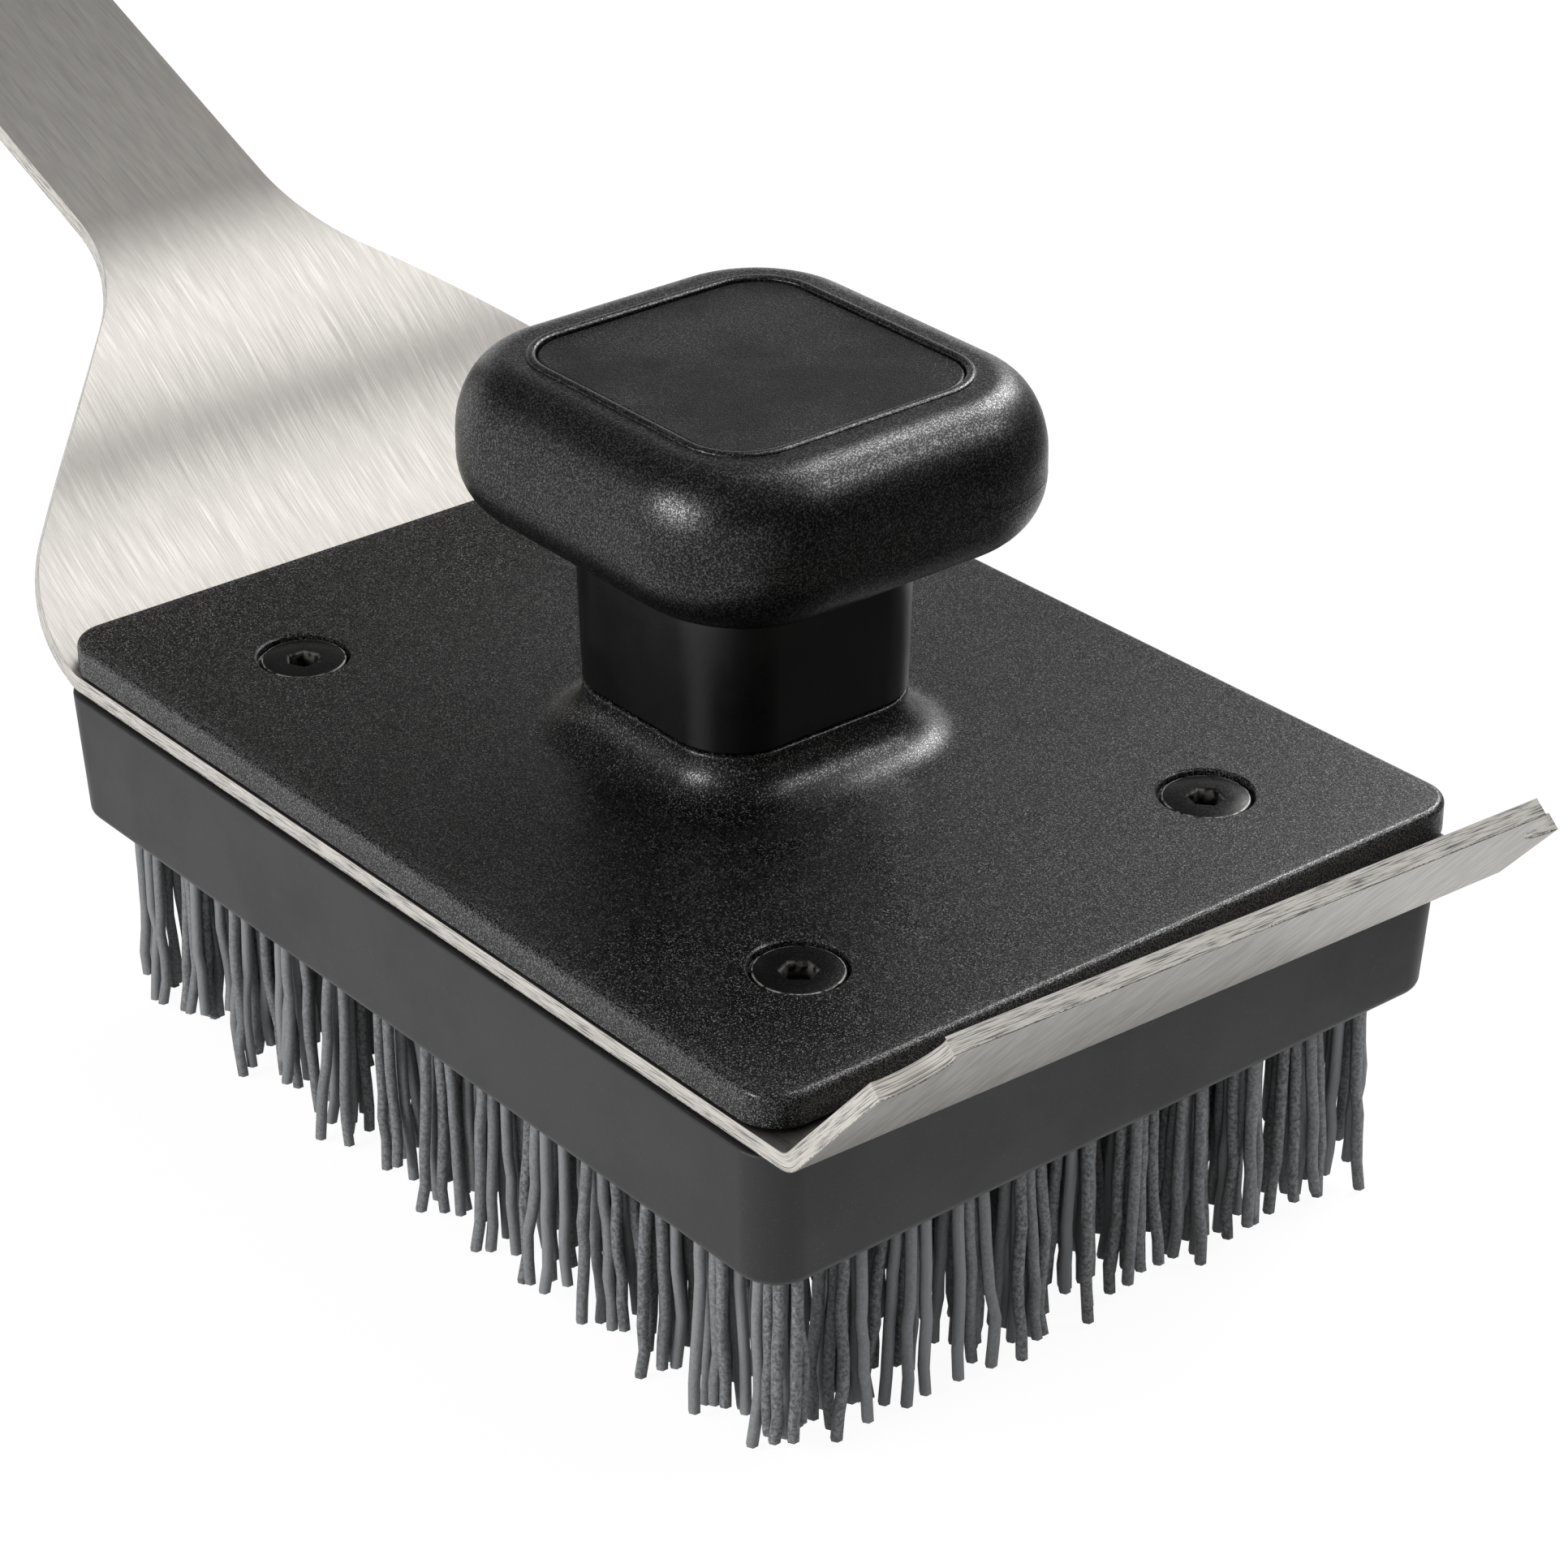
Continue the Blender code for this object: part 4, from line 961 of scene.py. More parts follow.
class BRUSH_OT_cover(bpy.types.Operator):
    """Build the grained cover with its boss and screw recesses"""

    bl_idname = "brush.cover"
    bl_label = "Cover"

    def execute(self, context):
        scene = context.scene
        head = scene.brush_head
        obj = new_piece("grained_cover", self.rings(head, scene.brush_knob))
        self.draw_out(obj.data, head)
        carve(obj, self.recesses(head))
        carve(obj, self.rear_bevel(BentSheet(scene.brush_plate, head)))
        mark_wear(obj.data, self.worn(head))
        look = grained_plastic("cover_grain", scene.brush_finish.plastic)
        complete(obj, look, "black_plastic", "cover_plate")
        return {"FINISHED"}

    @staticmethod
    def top(head):
        """Height of the cover's flat top."""
        return COVER_HIGH.z - head.boss_height

    def rings(self, head, knob):
        """Outline rings from the cover's underside over its edge and up the boss."""
        top = self.top(head)
        edge = head.cover_edge
        under = edge / 3
        rim = head.rim_round
        support = 0.0005
        outline = partial(inset_ring, (head.width, head.length), head.corner)
        boss = partial(inset_ring, (knob.stem_width, knob.stem_width), knob.stem_corner, y=STEM_Y)
        rings = [outline(under, COVER_LOW.z), outline(0, COVER_LOW.z + under)]
        rings += roll_over(outline, 8, top, edge, edge)
        rings += [outline(max(edge + support, WEAR_REACH), top), boss(-head.boss_spread - support, top)]
        rings += roll_under(boss, 16, top, -head.boss_spread, head.boss_height - rim)
        rings += roll_over(boss, 4, COVER_HIGH.z, rim, rim)
        pocket = knob.stem_width * 0.6
        pocket_depth = 0.004
        for z in (COVER_HIGH.z, COVER_HIGH.z - pocket_depth):
            rings.append(rounded_ring(pocket, pocket, knob.stem_corner / 3, z, STEM_Y))
        return rings

    @staticmethod
    def draw_out(mesh, head):
        """Draw the right side out over the plate, most at the front, as the photograph shows it."""
        inner = 0.03
        for vertex in mesh.vertices:
            side = (vertex.co.x - inner) / (head.width / 2 - inner)
            if side > 0:
                vertex.co.x += head.cover_overhang * side * (0.5 - vertex.co.y / head.length)

    @staticmethod
    def rear_bevel(sheet):
        """Wedge that bevels the lower rear edge, clear of the sheet's first bend."""
        foot = sheet.bend(0, sheet.rise_y)
        slope = sheet.bend(0, sheet.rise_y + 1.25 * sheet.plate.kink_inset) - foot
        foot += Vector((0, -slope.z, slope.y)).normalized() * SEAT_GAP
        near = foot - slope
        far = foot + slope * 2
        bm = bmesh.new()
        verts = []
        for x in (-2 * sheet.half, 2 * sheet.half):
            for y, z in ((near.y, near.z), (far.y, far.z), (far.y, near.z)):
                verts.append(bm.verts.new((x, y, z)))
        bmesh.ops.convex_hull(bm, input=verts)
        return closed_mesh(bm, "rear_bevel")

    def recesses(self, head):
        """Countersunk recess with a broken edge at each screw."""
        top = self.top(head)
        radius = head.recess_radius
        hole = head.screw_radius + SEAT_GAP
        head_rim = 0.0007
        rim = top - head.screw_sink - head_rim
        chamfer = 0.00025
        over = 0.002
        steps = (
            (hole, COVER_LOW.z - over), (hole, rim - (radius - hole)), (radius, rim),
            (radius, top - chamfer), (radius + chamfer, top), (radius + chamfer + over, top + over),
        )
        places = [(steps, centre.x, centre.y) for centre in SCREW_PLACES]
        return turned_cutters("recesses", places, points=56)

    def worn(self, head):
        """A rule that tells how worn a point of the cover is: most along the upper edge."""
        top = self.top(head)
        lowest, highest = top - head.cover_edge * 1.2, top + 0.0002
        recess = head.recess_radius + 0.0001

        def amount(point):
            if point.z < lowest or point.z > highest:
                return 0.0
            if min((point - centre).xy.length for centre in SCREW_PLACES) < recess:
                return 0.8
            half = head.width / 2
            if point.x > 0:
                half += head.cover_overhang * (0.5 - point.y / head.length)
            side = min(half - abs(point.x), head.length / 2 - abs(point.y))
            return max(0.0, 1 - side / WEAR_REACH)

        return amount


# Knob

class BRUSH_OT_knob(bpy.types.Operator):
    """Build the push knob and its cap"""

    bl_idname = "brush.knob"
    bl_label = "Push Knob"

    def execute(self, context):
        knob = context.scene.brush_knob
        black = context.scene.brush_finish.plastic
        obj = new_piece("push_knob", self.rings(knob))
        mark_wear(obj.data)
        grained = grained_plastic(
            "knob_grain", black, grain=0.00020, depth=0.00010, gloss=0.33, sheen=1.65, painted_glint=0.10
        )
        # The stem's faces take a darker copy of the knob's black plastic: painted shade under the head.
        dress(obj, grained, smooth_plastic("stem_plastic", tone(black, 0.4), gloss=0.26, specular=0.45))
        stem_top = self.under(knob) - knob.stem_fillet / 4
        for polygon in obj.data.polygons:
            polygon.material_index = int(polygon.center.z < stem_top)
        smooth(obj)
        place(obj, "black_plastic", "knob")
        cap = new_piece("knob_panel", self.cap_rings(knob))
        mark_wear(cap.data)
        patchy = grained_plastic(
            "cap_grain", black, grain=0.00018, depth=0.00010, gloss=0.36, sheen=1.24, painted_glint=0.42, patchy=0.9
        )
        complete(cap, patchy, "black_plastic", "knob_cap")
        return {"FINISHED"}

    @staticmethod
    def under(knob):
        """Height of the head's underside."""
        return KNOB_HIGH.z - knob.head_thickness

    def rings(self, knob):
        """Rings from the tenon up the stem, round the head and down into the cap's recess."""
        steps = 16
        under = self.under(knob)
        round_under = knob.under_round
        fillet = knob.stem_fillet
        base = COVER_HIGH.z + SEAT_GAP
        tenon = knob.stem_width * 0.55
        edge = 0.0003
        stem = partial(
            inset_ring, (knob.stem_width, knob.stem_width), knob.stem_corner, y=STEM_Y, steps=steps
        )
        head = partial(inset_ring, span(KNOB_LOW, KNOB_HIGH), knob.head_corner, y=KNOB_Y, steps=steps)
        cap = self.cap_ring(knob)
        rings = [
            rounded_ring(tenon, tenon, knob.stem_corner / 3, z, STEM_Y, steps) for z in (KNOB_LOW.z, base)
        ]
        rings += [stem(edge, base), stem(0, base + edge)]
        rings += roll_over(stem, 8, under, -fillet, fillet, -knob.stem_draft)
        rings += roll_under(head, 14, under, round_under, round_under)
        for lift, swell in ((0.0001, 0.0), (0.0002, 1.0), (0.0003, 1.0), (0.0004, 0.0)):
            rings.append(head(-knob.parting * swell, under + round_under + lift))
        rings += roll_over(head, 18, KNOB_HIGH.z, knob.shoulder_run, knob.shoulder_drop)
        for step in range(13):
            turn = math.pi * step / 12
            inset = -knob.cap_gap - knob.bead_width / 2 * (1 + math.cos(turn))
            rings.append(cap(inset, KNOB_HIGH.z + knob.bead_height * math.sin(turn)))
        rings.append(cap(-knob.cap_gap, CAP_LOW.z - knob.cap_gap))
        return rings

    @staticmethod
    def cap_ring(knob):
        """The rule for a level of the cap, drawn in from its outline."""
        return partial(inset_ring, span(CAP_LOW, CAP_HIGH), knob.cap_corner, y=KNOB_Y, steps=16)

    def cap_rings(self, knob):
        """Rings of the cap, from its underside over its rounded rim."""
        cap = self.cap_ring(knob)
        edge = knob.cap_edge
        return [cap(0, CAP_LOW.z)] + roll_over(cap, 5, CAP_HIGH.z + knob.cap_lift, edge, edge)


# Block and bristles

class BRUSH_OT_block(bpy.types.Operator):
    """Build the brush block"""

    bl_idname = "brush.block"
    bl_label = "Brush Block"

    def execute(self, context):
        scene = context.scene
        obj = new_piece("moulded_block", self.rings(scene.brush_head))
        look = smooth_plastic("block_plastic", scene.brush_finish.block, gloss=0.42, specular=0.36)
        complete(obj, look, "block_plastic", "brush_block")
        return {"FINISHED"}

    @staticmethod
    def rings(head):
        """Rings from the bristle recess round the lower edge and up the drafted side."""
        sides = [side + 2 * head.block_swell for side in (head.width, head.length)]
        upper = partial(inset_ring, sides, head.corner)
        lower = partial(inset_ring, [side - 2 * head.block_draft for side in sides], head.corner)
        wall = head.block_wall + head.block_swell
        edge = 0.0004
        rings = [lower(wall, PAD_HIGH.z + SEAT_GAP), lower(wall, BLOCK_LOW.z)]
        rings += roll_under(lower, 6, BLOCK_LOW.z, head.block_edge, head.block_edge)
        return rings + roll_over(upper, 3, BLOCK_HIGH.z, edge, edge)


SOCKETS = {
    int: "NodeSocketInt", float: "NodeSocketFloat", Euler: "NodeSocketRotation",
    bpy.types.Object: "NodeSocketObject", bpy.types.Material: "NodeSocketMaterial",
}


def geometry_tree(builder, values):
    """A geometry tree with an input for each value, which ends by giving what it built a material."""
    tree = bpy.data.node_groups.new(builder.__name__, "GeometryNodeTree")
    tree.interface.new_socket("Geometry", in_out="INPUT", socket_type="NodeSocketGeometry")
    for name, value in values.items():
        tree.interface.new_socket(name, in_out="INPUT", socket_type=SOCKETS[type(value)])
    tree.interface.new_socket("Geometry", in_out="OUTPUT", socket_type="NodeSocketGeometry")
    wire = Wiring(tree)
    source = wire.add("NodeGroupInput").outputs
    built = builder(wire, source)
    shaded = wire.add("GeometryNodeSetMaterial", {"Geometry": built, "Material": source["Material"]})
    wire.add("NodeGroupOutput", {0: shaded.outputs[0]})
    return tree


def run_tree(obj, builder, values):
    """Run a geometry tree, built once, on an object with the given inputs, and keep the plain mesh."""
    tree = bpy.data.node_groups.get(builder.__name__) or geometry_tree(builder, values)
    modifier = modify(obj, tree.name, "NODES", node_group=tree)
    for item in tree.interface.items_tree:
        if item.in_out == "INPUT" and item.name in values:
            modifier[item.identifier] = values[item.name]
    settle(obj)


def random_value(wire, kind, low, high, seed, index=None):
    """A random number or vector for each element."""
    node = wire.add("FunctionNodeRandomValue", data_type=kind)
    sockets = [socket for socket in node.inputs if socket.enabled]
    wire.feed(sockets[0], low)
    wire.feed(sockets[1], high)
    wire.feed(node.inputs["Seed"], seed)
    if index is not None:
        wire.feed(node.inputs["ID"], index)
    return next(socket for socket in node.outputs if socket.enabled)


def store(wire, geometry, name, kind, value):
    """Keep a value on the points of a geometry under a name."""
    node = wire.add("GeometryNodeStoreNamedAttribute", {"Geometry": geometry, "Name": name}, data_type=kind)
    wire.feed(next(socket for socket in node.inputs if socket.name == "Value" and socket.enabled), value)
    return node.outputs["Geometry"]


def recall(wire, name, kind="FLOAT_VECTOR"):
    """A value kept under a name."""
    return wire.add("GeometryNodeInputNamedAttribute", {"Name": name}, data_type=kind).outputs["Attribute"]


def nylon_tufts(wire, value):
    """Tufts of wandering filaments on a grid of holes."""
    axis = wire.arrow("SUBTRACT", wire.combine(z=value["Length"]), recall(wire, "lean"))
    aim = wire.add("FunctionNodeAlignRotationToVector", {"Vector": axis}, axis="Z")
    bundle = wire.add("GeometryNodeInstanceOnPoints", {
        "Points": tuft_roots(wire, value), "Instance": filament(wire, value),
        "Rotation": aim.outputs["Rotation"],
        "Scale": wire.combine(1.0, 1.0, recall(wire, "reach", "FLOAT")),
    })
    loose = wire.add("GeometryNodeRealizeInstances", {"Geometry": bundle.outputs[0]}).outputs[0]
    return wander(wire, value, loose)


def tuft_roots(wire, value):
    """One point for each filament, spread over its tuft hole, with its lean and length."""
    seed = value["Seed"]
    spans = []
    for number, pitch in (("Columns", "Pitch Across"), ("Rows", "Pitch Along")):
        spans.append(wire.times(wire.math("SUBTRACT", value[number], 1.0), value[pitch]))
    grid = wire.add("GeometryNodeMeshGrid", {
        "Size X": spans[0], "Size Y": spans[1], "Vertices X": value["Columns"], "Vertices Y": value["Rows"],
    })
    holes = wire.add("GeometryNodeMeshToPoints", {"Mesh": grid.outputs[0]}).outputs[0]
    sway = random_value(wire, "FLOAT_VECTOR", (-1, -1, 0), (1, 1, 0), seed)
    holes = store(wire, holes, "sway", "FLOAT_VECTOR", sway)
    holes = store(wire, holes, "spin", "FLOAT", random_value(wire, "FLOAT", 0.0, math.tau, seed))
    copies = wire.add(
        "GeometryNodeDuplicateElements", {"Geometry": holes, "Amount": value["Filaments"]}, domain="POINT"
    )
    number = copies.outputs["Duplicate Index"]
    golden = math.pi * (3 - math.sqrt(5))
    turn = wire.math("ADD", wire.times(number, golden), recall(wire, "spin", "FLOAT"))
    ring = wire.math("SQRT", wire.math("DIVIDE", wire.math("ADD", number, 0.5), value["Filaments"]))
    outward = wire.combine(wire.math("COSINE", turn), wire.math("SINE", turn))
    outward = wire.arrow("SCALE", outward, ring)
    points = store(wire, copies.outputs["Geometry"], "outward", "FLOAT_VECTOR", outward)
    shift = wire.arrow("SCALE", recall(wire, "outward"), value["Tuft Radius"])
    points = wire.add("GeometryNodeSetPosition", {"Geometry": points, "Offset": shift}).outputs[0]
    index = wire.add("GeometryNodeInputIndex").outputs[0]
    stray = random_value(wire, "FLOAT_VECTOR", (-0.55, -0.55, 0), (0.55, 0.55, 0), seed, index)
    lean = wire.arrow("ADD", recall(wire, "outward"), stray)
    lean = wire.arrow("ADD", lean, wire.arrow("SCALE", recall(wire, "sway"), 0.55))
    points = store(wire, points, "lean", "FLOAT_VECTOR", wire.arrow("SCALE", lean, value["Splay"]))
    luck = random_value(wire, "FLOAT", 0.0, 1.0, wire.math("ADD", seed, 7.0), index)
    short = wire.times(wire.math("POWER", luck, 1.8), value["Ragged"])
    points = store(wire, points, "reach", "FLOAT", wire.math("SUBTRACT", value["Length"], short))
    shade = random_value(wire, "FLOAT", 0.0, 1.0, wire.math("ADD", seed, 3.0), index)
    points = store(wire, points, "strand_tone", "FLOAT", shade)
    phase = random_value(wire, "FLOAT_VECTOR", (0, 0, 0), (90, 90, 90), wire.math("ADD", seed, 5.0), index)
    return store(wire, points, "phase", "FLOAT_VECTOR", phase)


def filament(wire, value):
    """One straight filament of unit length, hanging from its root."""
    line = wire.add("GeometryNodeCurvePrimitiveLine", {"Start": (0, 0, 0), "End": (0, 0, -1)})
    points = wire.add("GeometryNodeResampleCurve", {"Curve": line.outputs[0], "Count": 9})
    round_shape = wire.add(
        "GeometryNodeCurvePrimitiveCircle", {"Resolution": 6, "Radius": value["Filament Radius"]}
    )
    tube = wire.add("GeometryNodeCurveToMesh", {
        "Curve": points.outputs[0], "Profile Curve": round_shape.outputs[0], "Fill Caps": True,
    })
    return tube.outputs[0]


def wander(wire, value, geometry):
    """Push the filaments off their straight line, more towards the tips."""
    height = wire.split(wire.add("GeometryNodeInputPosition").outputs[0])[2]
    hang = wire.math("DIVIDE", wire.times(height, -1.0), value["Length"], clamp=True)
    where = wire.arrow("ADD", recall(wire, "phase"), wire.combine(z=wire.times(height, 95.0)))
    noise = wire.add("ShaderNodeTexNoise", {"Vector": where, "Scale": 1.0, "Detail": 1.0})
    push = wire.arrow("SUBTRACT", noise.outputs["Color"], (0.5, 0.5, 0.5))
    push = wire.arrow("MULTIPLY", push, (2.0, 2.0, 0.0))
    push = wire.arrow("SCALE", push, wire.times(value["Wave"], hang))
    bent = wire.add("GeometryNodeSetPosition", {"Geometry": geometry, "Offset": push}).outputs[0]
    return wire.add("GeometryNodeSetShadeSmooth", {"Geometry": bent}).outputs[0]


class BRUSH_OT_bristles(bpy.types.Operator):
    """Grow the nylon tufts and build their backing"""

    bl_idname = "brush.bristles"
    bl_label = "Bristles"

    def execute(self, context):
        scene = context.scene
        nylon = scene.brush_bristle
        finish = scene.brush_finish
        obj = new_object("nylon_tufts", bpy.data.meshes.new("nylon_tufts"))
        run_tree(obj, nylon_tufts, {
            "Columns": nylon.columns, "Rows": nylon.rows, "Pitch Across": nylon.pitch_x,
            "Pitch Along": nylon.pitch_y, "Filaments": nylon.filaments, "Tuft Radius": nylon.tuft_radius,
            "Filament Radius": nylon.radius, "Length": nylon.face, "Ragged": nylon.ragged,
            "Splay": nylon.splay, "Wave": nylon.wave, "Seed": 4,
            "Material": grit_nylon("grit_nylon", finish.nylon),
        })
        obj.data.transform(Matrix.Translation((0, 0, nylon.face)))
        place(obj, "bristle_nylon", "bristle_pad")
        backing = new_piece("bristle_backing", self.backing_rings(scene.brush_head, nylon))
        look = smooth_plastic("backing_plastic", finish.block, gloss=0.55, specular=0.3)
        complete(backing, look, "bristle_nylon")
        return {"FINISHED"}

    @staticmethod
    def backing_rings(head, nylon):
        """Rings of the slice that the tufts grow from."""
        gap = head.block_draft + head.block_wall + SEAT_GAP
        corner = head.corner - head.block_wall - SEAT_GAP
        edge = 0.0004
        level = partial(inset_ring, (head.width - 2 * gap, head.length - 2 * gap), corner)
        return [level(edge, nylon.face), level(0, nylon.face + edge), level(0, PAD_HIGH.z)]


# Screws, grip and rivets

def hardware(wire, value):
    """Copies of one fastener on the points of a mesh, tilted alike and each turned its own way."""
    shape = wire.add("GeometryNodeObjectInfo", {"Object": value["Fastener"]})
    copies = wire.add("GeometryNodeInstanceOnPoints", {
        "Points": value["Geometry"], "Instance": shape.outputs["Geometry"], "Rotation": value["Tilt"],
    })
    turn = wire.combine(z=random_value(wire, "FLOAT", 0.0, math.tau, value["Seed"]))
    turned = wire.add("GeometryNodeRotateInstances", {"Instances": copies.outputs[0], "Rotation": turn})
    return wire.add("GeometryNodeRealizeInstances", {"Geometry": turned.outputs[0]}).outputs[0]


def spread_hardware(name, fastener, points, tilt, seed, material):
    """One mesh with a copy of the fastener at each point."""
    template = new_object(f"{name}_template", fastener)
    sharpen(template.data, crease=30)
    spots = bpy.data.meshes.new(name)
    spots.from_pydata(points, [], [])
    obj = new_object(name, spots)
    run_tree(obj, hardware, {"Fastener": template, "Tilt": tilt, "Seed": seed, "Material": material})
    bpy.data.objects.remove(template)
    return obj


class BRUSH_OT_screws(bpy.types.Operator):
    """Drive the four countersunk socket screws"""

    bl_idname = "brush.screws"
    bl_label = "Cover Screws"

    def execute(self, context):
        head = context.scene.brush_head
        points = [(centre.x, centre.y, SCREW_HIGH.z) for centre in SCREW_PLACES]
        material = black_oxide("black_oxide", context.scene.brush_finish.oxide)
        shape = loft("socket_screw", self.rings(head))
        mark_wear(shape, self.worn(head))
        obj = spread_hardware("socket_screws", shape, points, Euler((0, 0, 0)), seed=3, material=material)
        place(obj, "black_steel", *SCREW_NODES)
        return {"FINISHED"}

    @staticmethod
    def worn(head):
        """A rule that tells how worn a point of the screw is: the rim and the socket's edge."""

        def amount(point):
            reach = point.xy.length
            if reach > SCREW_HEAD_RADIUS - SCREW_EDGE / 2 and -SCREW_EDGE < 2 * point.z:
                return 1.0
            if reach < head.screw_socket * 0.6 and -1.5 * SCREW_EDGE < point.z < -SCREW_EDGE / 2:
                return 0.3
            return 0.0

        return amount

    @staticmethod
    def rings(head):
        """Rings from the screw's end up its shank and head and down into its socket."""
        radius = SCREW_HEAD_RADIUS
        shank = head.screw_radius
        edge = SCREW_EDGE
        length = SCREW_HIGH.z - SCREW_LOW.z
        flats = head.screw_socket
        outside = (
            (shank * 0.75, -length), (shank, -length + shank / 4), (shank, -(edge * 2 + radius - shank)),
            (radius, -2 * edge), (radius, -edge), (radius - edge * 0.3, -edge * 0.3), (radius - edge, 0),
        )
        socket = ((flats + edge * 2, 0), (flats, -edge), (flats, -head.socket_depth))
        rings = [circle_ring(*step) for step in outside] + [hexagon_ring(*step) for step in socket]
        return rings + [circle_ring(flats * 0.1, -head.socket_depth * 1.2)]


def fullness(grip, offset):
    """How full the grip is at a distance from its middle."""
    power = 6
    part = abs(offset) / (grip.length / 2)
    return max(1 - part**power, 0) ** (1 / power)


class BRUSH_OT_grip(bpy.types.Operator):
    """Build the two grip scales"""

    bl_idname = "brush.grip"
    bl_label = "Grip Scales"

    def execute(self, context):
        scene = context.scene
        grip = scene.brush_grip
        plate = scene.brush_plate
        axes = self.handle_axes(BentSheet(plate, scene.brush_head))
        inverse = axes.inverted()
        centre = plate.handle_length - grip.tail - grip.length / 2
        rivets = [(inverse @ spot).y for spot in RIVET_PLACES]
        upper = Matrix.Translation((0, 0, grip.gap))
        lower = Matrix.Translation((0, 0, -plate.thickness - grip.gap)) @ Matrix.Rotation(math.pi, 4, "Y")
        for name, side in (("grip_upper", upper), ("grip_lower", lower)):
            obj = new_object(f"{name}_scale", loft(name, self.rings(grip, centre)))
            carve(obj, self.recesses(grip, rivets, centre))
            obj.data.transform(axes @ side)
            mark_wear(obj.data)
            look = grained_plastic(f"{name}_grain", scene.brush_finish.plastic)
            complete(obj, look, "black_plastic", name)
        return {"FINISHED"}

    @staticmethod
    def handle_axes(sheet):
        """Axes of the handle: Y along it, Z out of its upper face."""
        start = sheet.bend(0, sheet.rise_y + sheet.handle_run)
        return Matrix.Translation(start) @ Matrix.Rotation(sheet.plate.handle_angle, 4, "X")

    @staticmethod
    def rings(grip, centre):
        """Sections of one scale: flat against the sheet, crowned outside."""
        stations = 44
        points = 30
        squareness = 2 / 2.7
        reach = grip.length / 2 * 0.998
        rings = []
        for station in range(stations + 1):
            offset = reach * math.sin(math.pi * (station / stations - 0.5))
            full = fullness(grip, offset)
            ring = []
            for point in range(points + 1):
                turn = math.pi * point / points
                across = math.copysign(abs(math.cos(turn)) ** squareness, math.cos(turn))
                out = math.sin(turn) ** squareness if 0 < point < points else 0
                ring.append((grip.width / 2 * full * across, centre + offset, grip.thickness * full * out))
            rings.append(ring)
        return rings

    @staticmethod
    def recesses(grip, rivets, centre):
        """Round recesses for the rivet heads, with a broken edge."""
        radius = grip.rivet_head + SEAT_GAP
        chamfer = 0.0003
        over = 0.003
        cutters = []
        for run in rivets:
            top = grip.thickness * fullness(grip, run - centre)
            steps = (
                (radius, top - grip.rivet_rim - SEAT_GAP), (radius, top - chamfer),
                (radius + chamfer, top), (radius + chamfer + over, top + over),
            )
            cutters.append((steps, 0, run))
        return turned_cutters("rivet_recesses", cutters)


class BRUSH_OT_rivets(bpy.types.Operator):
    """Set the grip's rivets"""

    bl_idname = "brush.rivets"
    bl_label = "Grip Rivets"

    def execute(self, context):
        scene = context.scene
        plate = scene.brush_plate
        material = turned_metal("rivet_metal", scene.brush_finish.zinc, gloss=0.24)
        tilt = Euler((plate.handle_angle, 0, 0))
        shape = loft("rivet", self.rings(scene.brush_grip, plate.thickness))
        points = [tuple(spot) for spot in RIVET_PLACES]
        obj = spread_hardware("grip_rivets", shape, points, tilt, seed=5, material=material)
        place(obj, "bolt_steel", *RIVET_NODES)
        return {"FINISHED"}

    @staticmethod
    def rings(grip, thickness):
        """Rings from the lower head's crown along the shank to the upper head's crown."""
        seat = thickness / 2 + grip.gap + grip.thickness - grip.rivet_rim
        rim = seat + grip.rivet_rim
        edge = 0.0002
        crown, tip = 0.97, 0.02
        upper = [(grip.rivet_radius, seat), (grip.rivet_head, seat), (grip.rivet_head, rim - edge)]
        for sine, cosine in quarter(7):
            upper.append((grip.rivet_head * crown * max(cosine, tip), rim + grip.rivet_dome * sine))
        profile = [(radius, -z) for radius, z in reversed(upper)] + upper
        return [circle_ring(radius, z, points=40) for radius, z in profile]


class BRUSH_OT_inner_hardware(bpy.types.Operator):
    """Finish the inserts, the knob bolt and its washer"""

    bl_idname = "brush.inner_hardware"
    bl_label = "Inner Hardware"

    def execute(self, context):
        finish = context.scene.brush_finish
        brass = turned_metal("insert_brass", finish.brass, gloss=0.3)
        zinc = turned_metal("bolt_zinc", finish.zinc, gloss=0.34)
        for name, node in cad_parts.items():
            if not node.hide_render:
                dress(node, brass if "insert" in name else zinc)
        return {"FINISHED"}


# Stage

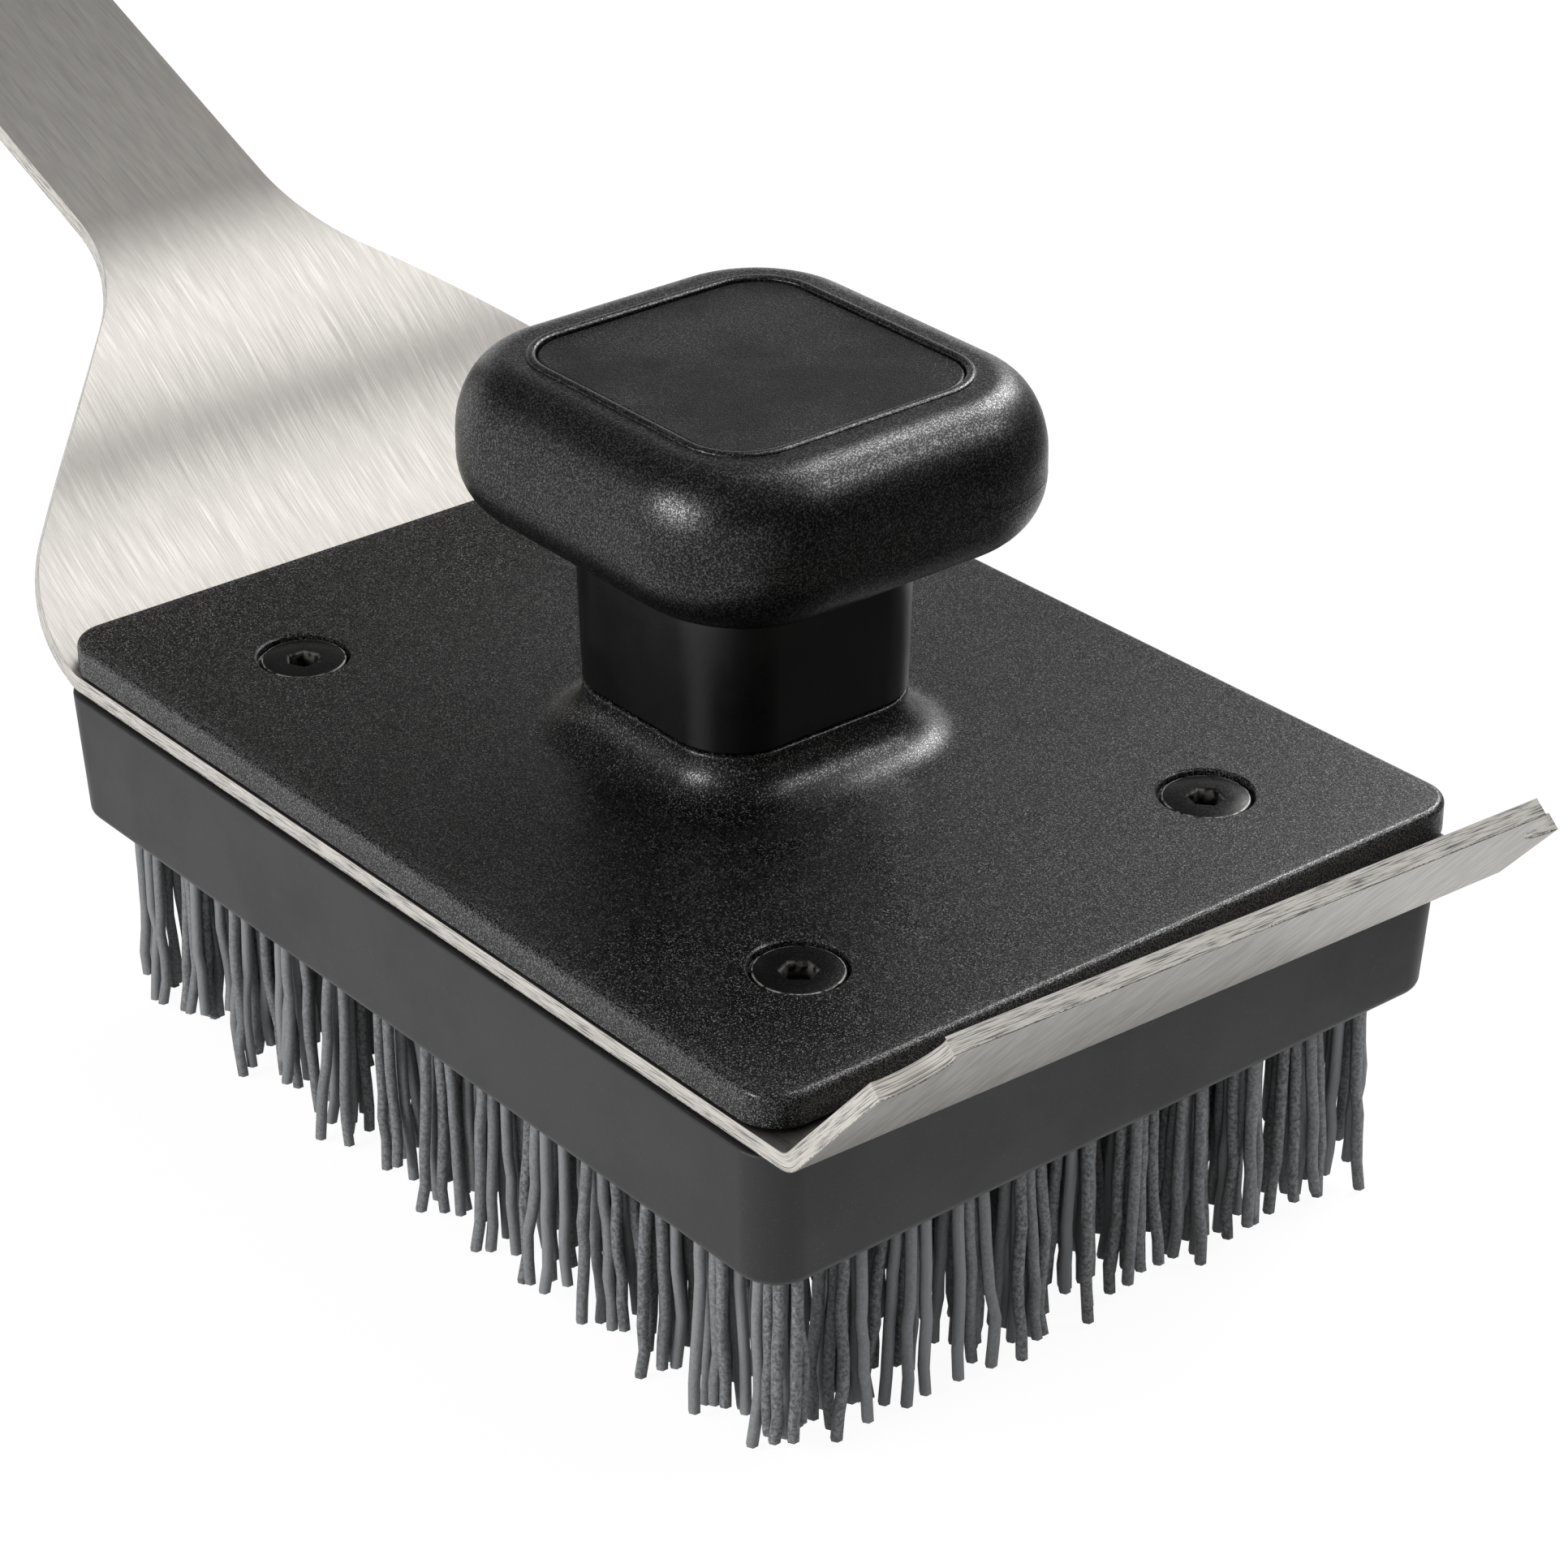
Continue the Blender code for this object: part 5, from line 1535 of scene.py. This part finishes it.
class BRUSH_OT_stage(bpy.types.Operator):
    """Lay the floor, hang the lamps and set the camera"""

    bl_idname = "brush.stage"
    bl_label = "Stage"

    def execute(self, context):
        stage = context.scene.brush_stage
        context.scene.view_settings.view_transform = "Standard"
        self.floor(stage)
        self.world(context, stage)
        self.lamps(stage)
        self.camera(context, stage)
        return {"FINISHED"}

    @staticmethod
    def floor(stage):
        """White floor that keeps a faint shadow."""
        half = stage.floor_size / 2
        corners = [(-half, -half, 0), (half, -half, 0), (half, half, 0), (-half, half, 0)]
        mesh = bpy.data.meshes.new("floor")
        mesh.from_pydata(corners, [], [(0, 1, 2, 3)])
        obj = new_object("floor", mesh)
        below_tips = 0.0005
        obj.location.z = -below_tips
        look = Look("floor_white")
        matt = {"Base Color": (0.72, 0.72, 0.72, 1), "Roughness": 0.9, "Specular IOR Level": 0.1}
        for name, value in matt.items():
            look.feed(look.shader.inputs[name], value)
        light = look.add("ShaderNodeLightPath").outputs
        spot = look.split(look.coords)
        mirrored = look.remap(look.math("SUBTRACT", spot[0], spot[1]), 0.15, 0.35, 1.0, 0.15)
        strength = look.most(look.times(light["Is Camera Ray"], 1.05), mirrored)
        glow = look.add("ShaderNodeEmission", {"Color": (1, 1, 1, 1), "Strength": strength})
        factor = look.most(look.times(light["Is Camera Ray"], 0.90), light["Is Glossy Ray"])
        mix = look.add("ShaderNodeMixShader", {0: factor, 1: look.shader.outputs[0], 2: glow.outputs[0]})
        look.feed(look.tree.nodes["Material Output"].inputs["Surface"], mix.outputs[0])
        dress(obj, look.material)

    @staticmethod
    def world(context, stage):
        """Soft light from all round: white where it is seen, and mirrored white under a dark ceiling."""
        world = bpy.data.worlds.new("studio")
        context.scene.world = world
        world.use_nodes = True
        wire = Wiring(world.node_tree)
        soft = world.node_tree.nodes["Background"]
        soft.inputs["Strength"].default_value = stage.ambient
        soft.inputs["Color"].default_value = (1, 1, 1, 1)
        light = wire.add("ShaderNodeLightPath").outputs
        way = wire.split(wire.add("ShaderNodeTexCoord").outputs["Generated"])
        sky = wire.remap(way[2], 0.12, 0.42, 1.0, stage.ceiling)
        ahead = wire.math("SUBTRACT", way[0], way[1])
        sky = wire.times(sky, wire.remap(ahead, 0.35, 0.95, 1.0, 0.06))
        sky = wire.most(sky, wire.remap(way[2], 0.50, 0.75, 0.0, stage.zenith))
        glow = wire.most(light["Is Camera Ray"], sky)
        white = wire.add("ShaderNodeBackground", {"Color": (1, 1, 1, 1), "Strength": glow})
        seen = wire.most(light["Is Camera Ray"], light["Is Glossy Ray"])
        seen = wire.most(seen, light["Is Transmission Ray"])
        mix = wire.add("ShaderNodeMixShader", {0: seen, 1: soft.outputs[0], 2: white.outputs[0]})
        wire.feed(world.node_tree.nodes["World Output"].inputs["Surface"], mix.outputs[0])

    @staticmethod
    def lamps(stage):
        """A strip lamp on the right, a panel in front of it, a dim one overhead and a low one on the left.

        The steel sheet is screened from the three bright lamps, as with cards in a studio.
        """
        lamps = (
            ("strip", (0.76, 0.14, 0.60), (0.80, 0.38), (0.19, 0.35, -0.28), stage.strip_light),
            ("panel", (0.62, -0.46, 0.62), (0.50, 0.34), (0.19, 0.35, -0.28), stage.panel_light),
            ("overhead", (0.45, -0.02, 0.89), (0.66, 0.80), (0, 1, 0), stage.overhead_light),
            ("window", (-0.91, 0.10, 0.40), (0.62, 0.36), (0.20, 0.98, 0), stage.window_light),
        )
        screened = bpy.data.collections.new("screened_from_bright_lamps")
        screened.objects.link(bpy.data.objects["brushed_plate"])
        screened.collection_objects[0].light_linking.link_state = "EXCLUDE"
        target = Vector((0, 0.03, 0.08))
        distance = 1.2
        for name, direction, sides, long_side, power in lamps:
            data = bpy.data.lights.new(name, "AREA")
            data.shape = "RECTANGLE"
            data.size, data.size_y = sides
            data.energy = power
            lamp = new_object(name, data)
            back = Vector(direction).normalized()
            up = back.cross(Vector(long_side)).normalized()
            turn = Matrix((up.cross(back), up, back)).transposed()
            lamp.matrix_world = Matrix.Translation(target + back * distance) @ turn.to_4x4()
            if name != "overhead":
                lamp.light_linking.receiver_collection = screened

    @staticmethod
    def camera(context, stage):
        """Camera at the photograph's place."""
        data = bpy.data.cameras.new("camera")
        data.lens = stage.lens
        data.sensor_width = 36
        data.clip_start = 0.01
        camera = new_object("camera", data)
        camera.location = (stage.camera_x, stage.camera_y, stage.camera_z)
        camera.rotation_euler = (math.pi / 2 - stage.camera_dip, 0, stage.camera_turn)
        context.scene.camera = camera


class BRUSH_PT_panel(bpy.types.Panel):
    """Buttons that build the brush"""

    bl_idname = "BRUSH_PT_panel"
    bl_label = "Grill Brush"
    bl_space_type = "VIEW_3D"
    bl_region_type = "UI"
    bl_category = "Brush"

    def draw(self, context):
        for operator in OPERATORS:
            self.layout.operator(operator.bl_idname)


SETTINGS = {
    "brush_plate": PlateSizes,
    "brush_head": HeadSizes,
    "brush_knob": KnobSizes,
    "brush_bristle": BristleSizes,
    "brush_grip": GripSizes,
    "brush_finish": Finishes,
    "brush_stage": StageSettings,
}
OPERATORS = (
    BRUSH_OT_steel_plate, BRUSH_OT_cover, BRUSH_OT_knob, BRUSH_OT_block, BRUSH_OT_bristles,
    BRUSH_OT_screws, BRUSH_OT_grip, BRUSH_OT_rivets, BRUSH_OT_inner_hardware, BRUSH_OT_stage,
)
CLASSES = (*SETTINGS.values(), *OPERATORS, BRUSH_PT_panel)


def register():
    """Add the classes and hang the settings on the scene."""
    for cls in CLASSES:
        bpy.utils.register_class(cls)
    for name, cls in SETTINGS.items():
        setattr(bpy.types.Scene, name, bpy.props.PointerProperty(type=cls))


def unregister():
    """Take the settings and the classes away again."""
    for name in SETTINGS:
        delattr(bpy.types.Scene, name)
    for cls in reversed(CLASSES):
        bpy.utils.unregister_class(cls)


def main():
    """Build every piece in order."""
    register()
    bpy.ops.brush.steel_plate()
    bpy.ops.brush.cover()
    bpy.ops.brush.knob()
    bpy.ops.brush.block()
    bpy.ops.brush.bristles()
    bpy.ops.brush.screws()
    bpy.ops.brush.grip()
    bpy.ops.brush.rivets()
    bpy.ops.brush.inner_hardware()
    bpy.ops.brush.stage()


if __name__ == "__main__":
    main()
